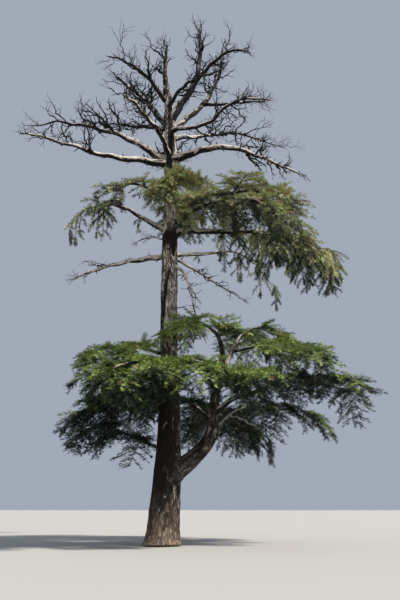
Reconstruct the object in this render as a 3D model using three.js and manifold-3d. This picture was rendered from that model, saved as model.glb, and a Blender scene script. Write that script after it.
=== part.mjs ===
// A tall old cedar: a straight tapering trunk, a dead bare top, living boughs at middle height and a broad
// low crown that a thick second stem carries. Millimetres, +Z up, from the middle of the trunk's foot.
// Headings are degrees in plan, counter-clockwise from +X. A rise is degrees above the horizontal.

import * as THREE from 'three';
import { mergeVertices } from 'three/addons/utils/BufferGeometryUtils.js';
import Module from 'manifold-3d';

const wasm = await Module();
wasm.setup();

// Driving sizes

const TREE_HEIGHT = 29000;
const CROWN_LEFT = -8700;
const CROWN_RIGHT = 9500;
const CROWN_FRONT = -5800;
const CROWN_BACK = 6800;
const LOWEST_LEAF = 1500;

// The gap where two nodes meet, and the room that a twig or blade keeps from what it doesn't grow from
const GAP = 0.3;
const TWIG_CLEARANCE = 3;

// The trunk's height and its breadth there, from the ground to the fork of the leaders
const TRUNK_SIZES = [
  [0, 1420], [900, 1400], [2800, 1330], [4600, 1120], [9300, 860], [14000, 870], [17000, 700],
  [19200, 790], [21000, 690], [23000, 600], [23900, 420],
];

// How far the trunk's middle has leant to the right at a height
const TRUNK_LEAN = [[0, 0], [1800, 150], [4600, 260], [11000, 150], [19000, 110], [23900, -90]];
const TRUNK_SIDES = 15;
const TRUNK_RINGS = 20;

// The trunk's rings stand closer together near the ground
const RING_CROWDING = 1.35;
const FLARE_SPREAD = 210;
const FLARE_HEIGHT = 420;
const FLARE_LOBES = 3;
const FLARE_TURN = 0.6;
const FLUTES = 5;
const FLUTE_DEPTH = 0.045;
const FLUTE_FADE = 9000;
const FLUTE_TWIST = 4000;

// A limb's path in even steps, each of them turned and lifted a little by chance
const PATH_STEPS = 10;
const CROOK_TURN = 13;
const CROOK_RISE = 9;

// A limb's taper, and the collar that it swells to where it starts, as shares of its breadth
const TAPER = 0.9;
const COLLAR = 0.3;
const COLLAR_LENGTH = 2.2;
const TIP_SHARE = 0.12;

const BOUGH_SIDES = 6;
const STEM_SIDES = 4;
const TWIG_SIDES = 3;

// The share of a stem that stands inside what it starts on, and of one that goes on from its bough
const STEM_HIDDEN = 0.2;
const STEM_HIDDEN_AT_BOUGH = 0.04;
const STEM_END = 0.95;

// Side twigs: their steps, how thick they are for their length and for their stem, and their one fork
const TWIG_STEPS = 2;
const TWIG_THICKNESS = 0.026;
const TWIG_TO_PARENT = 0.62;
const LOWEST_RISE = -86;
const FORK_STEPS = 1;
const FORK_SHARE = 0.4;
const FORK_LENGTH = 0.55;
const FORK_SPREAD = 42;
const TIP_FORK = 700;
const TIP_FORK_SPREAD = 34;

// A blade of needles starts at this share of a twig that is shorter than the reach of the two together
const LEAFY_TWIG = 0.52;
const BLADE_PLACE = 0.72;
const BLADE_REACH = 0.94;
const TIP_BLADE = 1300;
const TIP_PLACE = 0.9;

// Half the outline of a blade from its tip to its root, as shares of its length forward and to the side
const BLADE_OUTLINE = [[1, 0], [0.76, 0.12], [0.84, 0.3], [0.57, 0.17], [0.5, 0.38], [0, 0]];
const BLADE_MIDDLE = 0.45;
const BLADE_THICKNESS = 0.035;
const BLADE_SINK = 30;

// The three ways a mass grows: the room between its side twigs, their spread from the stem, how far they roll
// out of the flat pad, how much each step of a twig bends down, and how its blades of needles hang
const HABITS = {
  bare: { spacing: 960, spread: 50, roll: 60, droop: -8, blades: false, hang: 0 },
  pad: { spacing: 900, spread: 58, roll: 14, droop: 10, blades: true, hang: 24 },
  weeping: { spacing: 860, spread: 55, roll: 25, droop: 24, blades: true, hang: 50 },
};

// Limbs. Each starts on the trunk at a height, or on another limb at a share of its length. Its rises are
// met one after the other along it. Its first share, named bare, is bough. The rest is the stem of a mass,
// with side twigs that reach out this far.
const LIMBS = [
  { name: 'arm', on: 'trunk', height: 2800, heading: -5, turn: 0,
    rises: [37, 36, 38, 52, 74], length: 3100, across: 900, tip: 640, bare: 1, seed: 5 },
  { name: 'arm_upright', on: 'arm', at: 1, heading: -10, turn: 60,
    rises: [92, 82, 72, 82, 100], length: 4000, across: 590, tip: 270, bare: 1, seed: 6 },

  // The dead top
  { name: 'leader_left', habit: 'bare', on: 'trunk', height: 23300, heading: 130, turn: 0,
    rises: [78, 76, 84, 100, 96], length: 4600, across: 430, bare: 0.4, reach: 2000, seed: 11 },
  { name: 'leader_right', habit: 'bare', on: 'trunk', height: 22000, heading: -5, turn: 10,
    rises: [58, 60, 78, 90, 84], length: 7100, across: 470, bare: 0.5, reach: 1800, seed: 12 },
  { name: 'leader_outer', habit: 'bare', on: 'leader_right', at: 0.84, heading: -30, turn: -10,
    rises: [34, 38, 4, -26, -54], length: 4400, across: 250, bare: 0, reach: 1700, seed: 13 },
  { name: 'left_inner', habit: 'bare', on: 'trunk', height: 23200, heading: 222, turn: 0,
    rises: [26, 36, 14, -6, -26], length: 4700, across: 280, bare: 0, reach: 1900, seed: 14 },
  { name: 'left_steep', habit: 'bare', on: 'trunk', height: 21500, heading: 152, turn: 0,
    rises: [50, 58, 50, 48, 48], length: 7300, across: 400, bare: 0, reach: 2100, seed: 15 },
  { name: 'left_short', habit: 'bare', on: 'trunk', height: 21500, heading: 138, turn: 6,
    rises: [30, 26, 26, 26, 20], length: 6700, across: 260, bare: 0, reach: 1900, seed: 16 },
  { name: 'left_long', habit: 'bare', on: 'trunk', height: 19300, heading: 169, turn: 0,
    rises: [38, 37, 22, 12, -11], length: 9900, across: 470, bare: 0.3, reach: 2000, seed: 17 },
  { name: 'left_level', habit: 'bare', on: 'trunk', height: 19200, heading: 196, turn: 0,
    rises: [8, -5, 6, 12, -8], length: 8400, across: 450, bare: 0.4, reach: 1700, seed: 18 },
  { name: 'right_steep', habit: 'bare', on: 'trunk', height: 21300, heading: 36, turn: -6,
    rises: [48, 49, 60, 72, 84], length: 8300, across: 400, bare: 0.5, reach: 2100, seed: 19 },
  { name: 'right_arching', habit: 'bare', on: 'right_steep', at: 0.86, heading: -10, turn: 0,
    rises: [-14, -8, 0, -4, -14], length: 4000, across: 220, bare: 0, reach: 1800, seed: 20 },
  { name: 'right_hooked', habit: 'bare', on: 'trunk', height: 21300, heading: -38, turn: 0,
    rises: [-10, -12, 22, -28, -36], length: 7400, across: 270, bare: 0, reach: 1500, seed: 21 },
  { name: 'right_level', habit: 'bare', on: 'trunk', height: 20800, heading: 34, turn: -6,
    rises: [24, 25, 19, 2, -4], length: 9200, across: 290, bare: 0, reach: 1900, seed: 22 },
  { name: 'right_long', habit: 'bare', on: 'trunk', height: 19400, heading: -18, turn: 0,
    rises: [10, 0, -26, -38, -34], length: 8100, across: 480, bare: 0.4, reach: 1500, seed: 23 },
  { name: 'front_crossing', habit: 'bare', on: 'trunk', height: 22600, heading: 290, turn: 60,
    rises: [34, 16, 6, 4, 8], length: 4400, across: 240, bare: 0, reach: 1800, seed: 24 },
  { name: 'back_dead', habit: 'bare', on: 'trunk', height: 20100, heading: 88, turn: 10,
    rises: [34, 34, 26, 16, 2], length: 7600, across: 360, bare: 0, reach: 1900, seed: 25 },
  { name: 'front_dead', habit: 'bare', on: 'trunk', height: 19600, heading: 252, turn: -10,
    rises: [14, 6, -2, -8, -16], length: 6000, across: 300, bare: 0, reach: 1600, seed: 26 },

  // The living boughs at middle height
  { name: 'middle_left_upper', habit: 'pad', on: 'trunk', height: 17200, heading: 214, turn: -6,
    rises: [4, 6, -14, -42, -56], length: 4900, across: 260, bare: 0, reach: 1700, seed: 31 },
  { name: 'middle_left', habit: 'weeping', on: 'trunk', height: 15200, heading: 178, turn: 0,
    rises: [24, 34, 24, -26, -64], length: 6300, across: 340, bare: 0.4, reach: 1500, seed: 32 },
  { name: 'middle_front', habit: 'pad', on: 'trunk', height: 17000, heading: 264, turn: 50,
    rises: [45, 20, -45, -70, -78], length: 3400, across: 240, bare: 0, reach: 1700, seed: 33 },
  { name: 'middle_right_upper', habit: 'pad', on: 'trunk', height: 15600, heading: -20, turn: -6,
    rises: [20, 22, 4, -24, -48], length: 7000, across: 450, bare: 0.3, reach: 2200, seed: 34 },
  { name: 'middle_right_front', habit: 'pad', on: 'middle_right_upper', at: 0.86, heading: -60, turn: 10,
    rises: [-14, -18, -20, -30, -44], length: 6000, across: 260, bare: 0, reach: 2000, seed: 35 },
  { name: 'middle_right_far', habit: 'weeping', on: 'trunk', height: 15000, heading: 12, turn: 0,
    rises: [12, 7, 0, -16, -62], length: 9800, across: 390, bare: 0.4, reach: 2200, seed: 36 },
  { name: 'middle_right_low', habit: 'weeping', on: 'middle_right_far', at: 0.86, heading: -24, turn: 0,
    rises: [-10, -16, -22, -36, -60], length: 5600, across: 240, bare: 0, reach: 1900, seed: 37 },
  { name: 'middle_pale', habit: 'weeping', on: 'trunk', height: 13800, heading: 32, turn: 0,
    rises: [12, 20, 10, -34, -70], length: 7800, across: 260, bare: 0.5, reach: 1300, seed: 38 },
  { name: 'middle_back', habit: 'pad', on: 'trunk', height: 16900, heading: 62, turn: 10,
    rises: [36, 30, 12, -10, -36], length: 7200, across: 340, bare: 0, reach: 2300, seed: 39 },
  { name: 'dead_falling', habit: 'bare', on: 'trunk', height: 13800, heading: 20, turn: 0,
    rises: [-23, -26, -26, -22, -40], length: 5100, across: 210, bare: 0, reach: 1000, seed: 40 },
  { name: 'dead_hanging', habit: 'bare', on: 'trunk', height: 13300, heading: -30, turn: 20,
    rises: [-20, -66, -82, -72, -64], length: 5200, across: 190, bare: 0, reach: 900, seed: 41 },
  { name: 'dead_left_low', habit: 'bare', on: 'trunk', height: 13800, heading: 165, turn: 0,
    rises: [0, -5, -5, -17, -24], length: 5700, across: 320, bare: 0.5, reach: 1300, seed: 42 },

  // The low broad crown
  { name: 'low_over', habit: 'pad', on: 'arm_upright', at: 1, heading: 220, turn: -30,
    rises: [78, 40, 0, -20, -36], length: 3400, across: 250, bare: 0, reach: 1800, seed: 51 },
  { name: 'low_right_top', habit: 'pad', on: 'arm_upright', at: 0.66, heading: 50, turn: 0,
    rises: [56, 62, 34, 0, -14], length: 6200, across: 300, bare: 0.4, reach: 2000, seed: 52 },
  { name: 'low_right_second', habit: 'pad', on: 'low_right_top', at: 0.62, heading: -34, turn: 0,
    rises: [0, 8, -10, -20, -40], length: 4900, across: 190, bare: 0, reach: 2100, seed: 53 },
  { name: 'low_right_long', habit: 'pad', on: 'arm_upright', at: 0.18, heading: -6, turn: 0,
    rises: [36, 22, 14, -10, -34], length: 7100, across: 300, bare: 0.35, reach: 2200, seed: 54 },
  { name: 'low_right_under', habit: 'pad', on: 'arm', at: 0.96, heading: 34, turn: 0,
    rises: [38, 30, 10, -4, -24], length: 6700, across: 280, bare: 0.35, reach: 2000, seed: 55 },
  { name: 'low_right_hanging', habit: 'weeping', on: 'low_right_under', at: 0.5, heading: -36, turn: 0,
    rises: [-10, -20, -30, -40, -46], length: 2400, across: 170, bare: 0, reach: 1200, seed: 56 },
  { name: 'low_inner', habit: 'pad', on: 'arm_upright', at: 0.1, heading: 208, turn: 10,
    rises: [34, 30, 22, 4, -14], length: 4100, across: 220, bare: 0, reach: 1500, seed: 57 },
  { name: 'low_arm_back', habit: 'pad', on: 'arm_upright', at: 0.25, heading: 84, turn: 10,
    rises: [20, 6, -6, -16, -28], length: 6400, across: 280, bare: 0, reach: 2200, seed: 58 },
  { name: 'low_front_right', habit: 'pad', on: 'trunk', height: 7600, heading: -66, turn: 6,
    rises: [16, 4, -12, -24, -34], length: 5800, across: 240, bare: 0, reach: 2100, seed: 59 },
  { name: 'low_right_inner', habit: 'pad', on: 'arm_upright', at: 0.5, heading: -58, turn: 0,
    rises: [24, 10, -6, -16, -28], length: 4600, across: 220, bare: 0, reach: 2000, seed: 65 },
  { name: 'low_front_left', habit: 'pad', on: 'trunk', height: 7600, heading: 244, turn: -10,
    rises: [20, 6, -12, -26, -36], length: 5400, across: 260, bare: 0, reach: 2100, seed: 60 },
  { name: 'low_left_top', habit: 'pad', on: 'trunk', height: 8400, heading: 192, turn: 6,
    rises: [23, 14, -2, -16, -28], length: 4000, across: 210, bare: 0, reach: 1700, seed: 61 },
  { name: 'low_left_long', habit: 'pad', on: 'trunk', height: 6300, heading: 156, turn: 0,
    rises: [18, 8, -4, -12, -26], length: 5100, across: 270, bare: 0, reach: 2000, seed: 62 },
  { name: 'low_left_under', habit: 'pad', on: 'trunk', height: 4100, heading: 204, turn: 0,
    rises: [8, 16, 26, -4, -36], length: 4300, across: 200, bare: 0, reach: 1500, seed: 63 },
  { name: 'low_back', habit: 'pad', on: 'trunk', height: 7300, heading: 114, turn: 10,
    rises: [18, 12, 0, -12, -26], length: 6400, across: 280, bare: 0, reach: 2200, seed: 64 },
];

const FINISHES = {
  bark: { color: '#6b5f55', roughness: 0.92, metalness: 0 },
  deadWood: { color: '#75706a', roughness: 0.88, metalness: 0 },
  needles: { color: '#4b5a26', roughness: 0.8, metalness: 0 },
};

const tree = new THREE.Group();
const limbs = new Map();
const placed = [];

function seeded(seed) {
  let state = (seed * 7919 + 17) >>> 0;
  return () => {
    state = (Math.imul(state, 1664525) + 1013904223) >>> 0;
    return state / 4294967296;
  };
}

function radians(degrees) {
  return degrees * Math.PI / 180;
}

// The direction with this heading and rise
function toward(heading, rise) {
  const level = Math.cos(radians(rise));
  return new THREE.Vector3(level * Math.cos(radians(heading)), level * Math.sin(radians(heading)),
    Math.sin(radians(rise)));
}

// The value that a list of evenly spaced values has at a share of its way
function along(values, share) {
  const place = Math.min(Math.max(share, 0), 1) * (values.length - 1);
  const index = Math.min(Math.floor(place), values.length - 2);
  return values[index] + (values[index + 1] - values[index]) * (place - index);
}

// The second value of a list of pairs, read off at the first
function readOff(pairs, value) {
  const index = Math.max(1, pairs.findIndex((pair) => pair[0] >= value));
  const [low, high] = value > pairs.at(-1)[0] ? pairs.slice(-2) : [pairs[index - 1], pairs[index]];
  const share = THREE.MathUtils.clamp((value - low[0]) / (high[0] - low[0]), 0, 1);
  return low[1] + (high[1] - low[1]) * share;
}

// Solids

function toSolid(geometry) {
  geometry.deleteAttribute('normal');
  geometry.deleteAttribute('uv');
  const merged = mergeVertices(geometry);
  return new wasm.Manifold(new wasm.Mesh({
    numProp: 3,
    vertProperties: new Float32Array(merged.attributes.position.array),
    triVerts: new Uint32Array(merged.index.array),
  }));
}

function toGeometry(solid) {
  const mesh = solid.getMesh();
  const geometry = new THREE.BufferGeometry();
  geometry.setAttribute('position', new THREE.BufferAttribute(mesh.vertProperties, 3));
  geometry.setIndex(new THREE.BufferAttribute(mesh.triVerts, 1));
  geometry.computeVertexNormals();
  return geometry;
}

// The greatest body of a solid: loose scraps and the walls of sealed hollows are dropped
function greatestBody(solid) {
  const bodies = solid.decompose();
  return bodies.reduce((best, body) => (body.volume() > best.volume() ? body : best));
}

// A round bar bent along a path. A pointed one ends in a single point.
function bentBar(points, radii, sides, pointed, firstTangent) {
  const rings = points.length - 1;
  const turn = sides === STEM_SIDES ? Math.PI / sides : 0;
  const geometry = new THREE.CylinderGeometry(pointed ? 0 : 1, 1, 1, sides, rings, false, turn);
  const frames = barFrames(points, firstTangent);
  const position = geometry.attributes.position;
  for (let i = 0; i < position.count; i += 1) {
    const ring = Math.round((position.getY(i) + 0.5) * rings);
    const outward = Math.hypot(position.getX(i), position.getZ(i));
    const angle = Math.atan2(position.getZ(i), position.getX(i));
    const radius = outward < 1e-6 ? 0 : radii[ring];
    const vertex = points[ring].clone()
      .addScaledVector(frames[ring].across, -Math.cos(angle) * radius)
      .addScaledVector(frames[ring].up, Math.sin(angle) * radius);
    position.setXYZ(i, vertex.x, vertex.y, vertex.z);
  }
  return toSolid(geometry);
}

function barFrames(points, firstTangent) {
  const last = points.length - 1;
  let across = null;
  return points.map((point, i) => {
    const tangent = new THREE.Vector3()
      .subVectors(points[Math.min(i + 1, last)], points[Math.max(i - 1, 0)]).normalize();
    if (i === 0 && firstTangent) {
      tangent.copy(firstTangent);
    }
    if (across === null) {
      across = new THREE.Vector3(-tangent.y, tangent.x, 0);
      if (across.length() < 0.05) {
        across.set(0, 1, 0);
      }
    }
    across = across.clone().addScaledVector(tangent, -across.dot(tangent)).normalize();
    return { across, up: new THREE.Vector3().crossVectors(tangent, across), tangent };
  });
}

// A flat toothed blade of needles, thickest in its middle, from its root along its length
function needleBlade(blade, extra) {
  const half = BLADE_OUTLINE.length - 1;
  const geometry = new THREE.SphereGeometry(1, 2 * half, 2);
  const sideways = new THREE.Vector3().crossVectors(blade.normal, blade.dir).normalize();
  const normal = new THREE.Vector3().crossVectors(blade.dir, sideways);
  const position = geometry.attributes.position;
  for (let i = 0; i < position.count; i += 1) {
    const pole = Math.abs(position.getY(i)) > 0.5;
    const angle = Math.atan2(position.getZ(i), -position.getX(i));
    const corner = Math.round(Math.abs(angle) / Math.PI * half);
    const [forward, side] = pole ? [BLADE_MIDDLE, 0] : BLADE_OUTLINE[corner];
    const lift = pole ? Math.sign(position.getY(i)) * (blade.length * BLADE_THICKNESS / 2 + extra) : 0;
    const vertex = blade.root.clone()
      .addScaledVector(blade.dir, forward * (blade.length + extra) - BLADE_SINK)
      .addScaledVector(sideways, Math.sign(angle) * side * (blade.length + extra))
      .addScaledVector(normal, lift);
    position.setXYZ(i, vertex.x, vertex.y, vertex.z);
  }
  const solid = toSolid(geometry);
  return solid.volume() > 0 ? solid : turnedOut(geometry);
}

function turnedOut(geometry) {
  const index = geometry.index;
  for (let i = 0; i < index.count; i += 3) {
    const first = index.getX(i);
    index.setX(i, index.getX(i + 1));
    index.setX(i + 1, first);
  }
  return toSolid(geometry);
}

// Trunk

function trunkAxis(height) {
  return new THREE.Vector3(readOff(TRUNK_LEAN, height), 0, height);
}

function trunkRadius(height, angle) {
  const flare = FLARE_SPREAD * Math.exp(-height / FLARE_HEIGHT);
  const lobes = 1 + 0.5 * Math.cos(FLARE_LOBES * angle + FLARE_TURN);
  const fluteDepth = FLUTE_DEPTH * Math.exp(-height / FLUTE_FADE);
  const flutes = fluteDepth * Math.cos(FLUTES * angle + height / FLUTE_TWIST);
  return readOff(TRUNK_SIZES, height) / 2 * (1 + flutes) + flare * lobes;
}

// The trunk, fatter by an extra all round and at its top
function trunkSolid(extra) {
  const geometry = new THREE.CylinderGeometry(1, 1, 1, TRUNK_SIDES, TRUNK_RINGS);
  const top = TRUNK_SIZES.at(-1)[0];
  const position = geometry.attributes.position;
  for (let i = 0; i < position.count; i += 1) {
    const share = position.getY(i) + 0.5;
    const height = top * share ** RING_CROWDING;
    const angle = Math.atan2(-position.getZ(i), position.getX(i));
    const middle = Math.hypot(position.getX(i), position.getZ(i)) < 1e-6;
    const radius = middle ? 0 : trunkRadius(height, angle) + extra;
    const axis = trunkAxis(height);
    const lift = share === 1 ? extra : 0;
    position.setXYZ(i, axis.x + Math.cos(angle) * radius, axis.y + Math.sin(angle) * radius, height + lift);
  }
  return toSolid(geometry);
}

// Limbs

// Where a limb's middle line starts: on the trunk's, or on that of the limb it grows on
function limbStart(row) {
  if (row.on === 'trunk') {
    return trunkAxis(row.height);
  }
  const parent = limbs.get(row.on);
  const place = row.at * (parent.points.length - 1);
  const index = Math.min(Math.floor(place), parent.points.length - 2);
  return parent.points[index].clone().lerp(parent.points[index + 1], place - index);
}

function limbPath(row, start) {
  const random = seeded(row.seed);
  const points = [start];
  for (let i = 0; i < PATH_STEPS; i += 1) {
    const share = (i + 0.5) / PATH_STEPS;
    const sign = i % 2 ? 1 : -1;
    const heading = row.heading + row.turn * share + sign * CROOK_TURN * random();
    const rise = along(row.rises, share) + sign * CROOK_RISE * (random() - 0.3);
    points.push(points[i].clone().addScaledVector(toward(heading, rise), row.length / PATH_STEPS));
  }
  return points;
}

function limbRadii(row) {
  const tip = row.tip ?? row.across * TIP_SHARE;
  return Array.from({ length: PATH_STEPS + 1 }, (_, i) => {
    const share = i / PATH_STEPS;
    const collar = 1 + COLLAR * Math.max(0, 1 - share * row.length / (COLLAR_LENGTH * row.across));
    return (row.across + (tip - row.across) * share ** TAPER) / 2 * collar;
  });
}

// Cuts a solid clear of every limb and the trunk that stand already
function cutClear(solid, exceptions) {
  let kept = solid;
  for (const other of placed) {
    if (!exceptions.includes(other.name) && boxesMeet(kept, other.clear)) {
      kept = kept.subtract(other.clear);
    }
  }
  return kept === solid ? solid : greatestBody(kept);
}

function boxesMeet(first, second) {
  const a = first.boundingBox();
  const b = second.boundingBox();
  return [0, 1, 2].every((k) => a.min[k] <= b.max[k] && b.min[k] <= a.max[k]);
}

// The same bar, wider and longer by a little more than the gap that others keep from it
function roomyBar(points, radii, options) {
  const longer = points.map((point) => point.clone());
  const ends = [[0, 1], [points.length - 1, points.length - 2]];
  for (const [end, next] of ends) {
    const outward = new THREE.Vector3().subVectors(points[end], points[next]).normalize();
    longer[end].addScaledVector(outward, 2 * GAP);
  }
  const wider = radii.map((radius) => radius + 2 * GAP);
  return bentBar(longer, wider, options.sides, options.pointed, options.firstTangent);
}

function addNode(name, solid, finish) {
  const mesh = new THREE.Mesh(toGeometry(solid), new THREE.MeshStandardMaterial(finish));
  mesh.name = name;
  tree.add(mesh);
}

// Makes one stretch of a limb's path as a bar, cut clear of what stands already
function limbStretch(name, points, radii, options) {
  const bar = bentBar(points, radii, options.sides, options.pointed, options.firstTangent);
  const solid = cutClear(bar, options.touches);
  placed.push({ name, solid, clear: roomyBar(points, radii, options) });
  return solid;
}

// Makes a limb's bough and stands it in the tree. Gives back the stem of its mass, or null where it has none.
function makeLimb(row) {
  const parent = limbs.get(row.on);
  const points = limbPath(row, limbStart(row));
  const radii = limbRadii(row);
  let joined = { touches: [] };
  if (row.at === 1) {
    points[0].addScaledVector(parent.lastTangent, GAP);
    joined = { touches: [`bough_${row.on}`], firstTangent: parent.lastTangent };
  }
  const split = Math.round(row.bare * PATH_STEPS);
  const bough = { points: points.slice(0, split + 1) };
  limbs.set(row.name, bough);
  if (split > 0) {
    bough.lastTangent = new THREE.Vector3().subVectors(points[split], points[split - 1]).normalize();
    const solid = limbStretch(`bough_${row.name}`, bough.points, radii.slice(0, split + 1),
      { sides: BOUGH_SIDES, pointed: false, ...joined });
    const finish = row.habit === 'bare' ? FINISHES.deadWood : FINISHES.bark;
    addNode(row.bare === 1 ? row.name : `bough_${row.name}`, solid, finish);
    joined = { touches: [`bough_${row.name}`], firstTangent: bough.lastTangent };
  }
  if (split === PATH_STEPS) {
    return null;
  }
  const hidden = joined.firstTangent ? STEM_HIDDEN_AT_BOUGH : STEM_HIDDEN;
  const stem = { row, hidden, points: points.slice(split), radii: radii.slice(split) };
  if (split > 0) {
    stem.points[0] = stem.points[0].clone().addScaledVector(bough.lastTangent, GAP);
  }
  stem.solid = limbStretch(`mass_${row.name}`, stem.points, stem.radii,
    { sides: STEM_SIDES, pointed: true, ...joined });
  return stem;
}

// Masses

// A direction that leaves the stem's by an angle, rolled about the stem out of the level
function branchOff(tangent, spread, roll) {
  const side = new THREE.Vector3(-tangent.y, tangent.x, 0);
  if (side.length() < 0.2) {
    side.set(-0.4, 1, 0);
  }
  side.normalize();
  const up = new THREE.Vector3().crossVectors(tangent, side).normalize();
  const outward = side.multiplyScalar(Math.cos(radians(roll))).addScaledVector(up, Math.sin(radians(roll)));
  return tangent.clone().multiplyScalar(Math.cos(radians(spread)))
    .addScaledVector(outward, Math.sin(radians(spread)));
}

// A twig's path in even steps, each bent down from the last by the droop
function twigPath(start, dir, length, steps, droop) {
  const points = [start];
  const flat = Math.hypot(dir.x, dir.y);
  let rise = Math.atan2(dir.z, flat) * 180 / Math.PI;
  const heading = Math.atan2(dir.y, dir.x) * 180 / Math.PI;
  for (let i = 0; i < steps; i += 1) {
    points.push(points[i].clone().addScaledVector(toward(heading, rise), length / steps));
    rise = Math.max(rise - droop, LOWEST_RISE);
  }
  return points;
}

// A place on a stem or twig: its point, its direction and its radius there
function placeOn(bar, share) {
  const place = share * (bar.points.length - 1);
  const index = Math.min(Math.floor(place), bar.points.length - 2);
  const tangent = new THREE.Vector3().subVectors(bar.points[index + 1], bar.points[index]).normalize();
  const radius = along(bar.radii, share);
  return { point: bar.points[index].clone().lerp(bar.points[index + 1], place - index), tangent, radius };
}

function twigFrom(place, dir, length, steps, droop) {
  const points = twigPath(place.point, dir, length, steps, droop);
  const root = Math.min(place.radius * TWIG_TO_PARENT, length * TWIG_THICKNESS);
  return { points, radii: points.map((_, i) => root * (1 - i / steps)) };
}

function bladeFrom(place, turn, hang, length) {
  const { point, tangent } = place;
  const heading = Math.atan2(tangent.y, tangent.x) * 180 / Math.PI + turn;
  const rise = Math.max(Math.asin(tangent.z) * 180 / Math.PI - hang, LOWEST_RISE);
  return { root: point, dir: toward(heading, rise), normal: toward(heading, rise + 90), length };
}

// The side twigs of a mass, each with the fork or blade that grows on it, and what grows on the stem's tip
function growMass(mass) {
  const habit = HABITS[mass.row.habit];
  const random = seeded(mass.row.seed + 500);
  const shoots = [];
  const stemLength = mass.row.length * (mass.points.length - 1) / PATH_STEPS * (1 - mass.hidden);
  const count = Math.round(stemLength / habit.spacing);
  for (let i = 0; i < count; i += 1) {
    const share = mass.hidden + (STEM_END - mass.hidden) * (i + 0.3 + 0.4 * random()) / count;
    const place = placeOn(mass, share);
    const roll = (i % 2 ? 180 : 0) + habit.roll * (2 * random() - 1);
    const dir = branchOff(place.tangent, habit.spread + 16 * (random() - 0.5), roll);
    const reach = mass.row.reach * (0.8 + 0.3 * random()) * reachShare(share, habit);
    const twig = twigFrom(place, dir, habit.blades ? reach * LEAFY_TWIG : reach, TWIG_STEPS, habit.droop);
    const part = habit.blades ? endBlade(twig, reach, habit, random) : fork(twig, reach, random);
    shoots.push({ twig, part });
  }
  shoots.push({ twig: null, part: tipPart(placeOn(mass, TIP_PLACE), habit, random) });
  return shoots;
}

function tipPart(place, habit, random) {
  if (habit.blades) {
    return { blade: bladeFrom(place, 0, habit.hang * 0.3, TIP_BLADE) };
  }
  const dir = branchOff(place.tangent, TIP_FORK_SPREAD, 180 * random());
  return { twig: twigFrom(place, dir, TIP_FORK, FORK_STEPS, 0) };
}

// Leafy twigs are longest a little way out along the stem, and dead ones at its root
function reachShare(share, habit) {
  return habit.blades ? 0.55 + 0.45 * Math.sin(Math.PI * (0.25 + 0.6 * share)) : 1 - 0.5 * share;
}

function fork(twig, reach, random) {
  const place = placeOn(twig, FORK_SHARE);
  const dir = branchOff(place.tangent, FORK_SPREAD + 14 * random(), 180 * random());
  return { twig: twigFrom(place, dir, reach * FORK_LENGTH, FORK_STEPS, 0) };
}

function endBlade(twig, reach, habit, random) {
  const hang = habit.hang * (0.3 + 1.4 * random());
  return { blade: bladeFrom(placeOn(twig, BLADE_PLACE), 24 * (random() - 0.5), hang, reach * BLADE_REACH) };
}

function insideCrown(solid) {
  const { min, max } = solid.boundingBox();
  return min[0] > CROWN_LEFT && max[0] < CROWN_RIGHT && min[1] > CROWN_FRONT && max[1] < CROWN_BACK
    && min[2] > LOWEST_LEAF && max[2] < TREE_HEIGHT;
}

function meetsAny(solid, others) {
  return others.some((other) => boxesMeet(solid, other) && !solid.intersect(other).isEmpty());
}

function partSolid(part, extra) {
  if (part.blade) {
    return needleBlade(part.blade, extra);
  }
  return bentBar(part.twig.points, part.twig.radii.map((radius) => radius + extra), TWIG_SIDES, true);
}

// Adds a twig or blade to the pieces of its mass, unless its slightly fatter copy leaves the crown or touches
// a limb, another mass or a piece that it doesn't grow from. Gives the piece back, or null.
function growPiece(part, parent, pieces, others) {
  const fat = partSolid(part, TWIG_CLEARANCE);
  const own = pieces.filter((piece) => piece !== parent);
  if (!insideCrown(fat) || meetsAny(fat, others) || meetsAny(fat, own)) {
    return null;
  }
  const solid = partSolid(part, 0);
  pieces.push(solid);
  return solid;
}

// Grows a mass on its stem, fuses it and stands it in the tree
function makeMass(mass) {
  const own = placed.find((other) => other.name === `mass_${mass.row.name}`);
  const others = placed.filter((other) => other !== own).map((other) => other.solid);
  const pieces = [mass.solid];
  for (const shoot of growMass(mass)) {
    const parent = shoot.twig ? growPiece(shoot, mass.solid, pieces, others) : mass.solid;
    if (parent) {
      growPiece(shoot.part, parent, pieces, others);
    }
  }
  own.solid = greatestBody(wasm.Manifold.union(pieces)).simplify(0.1);
  const leafy = HABITS[mass.row.habit].blades;
  const finish = leafy ? FINISHES.needles : FINISHES.deadWood;
  addNode(`${leafy ? 'foliage' : 'twigs'}_${mass.row.name}`, own.solid, finish);
}

const trunk = trunkSolid(0);
placed.push({ name: 'trunk', solid: trunk, clear: trunkSolid(2 * GAP) });
addNode('trunk', trunk, FINISHES.bark);
const masses = LIMBS.map(makeLimb).filter(Boolean);
masses.forEach(makeMass);

export default tree;
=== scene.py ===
"""A tall old cedar with a dead bare top, living boughs at middle height and a broad low crown.

The limbs grow by the same rule as the solids do, and are carried on to finer twigs and to sprays of needles.
Metres, +Z up, the origin at the middle of the trunk's foot. Headings and rises are degrees.
"""

import math
from typing import NamedTuple

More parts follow.
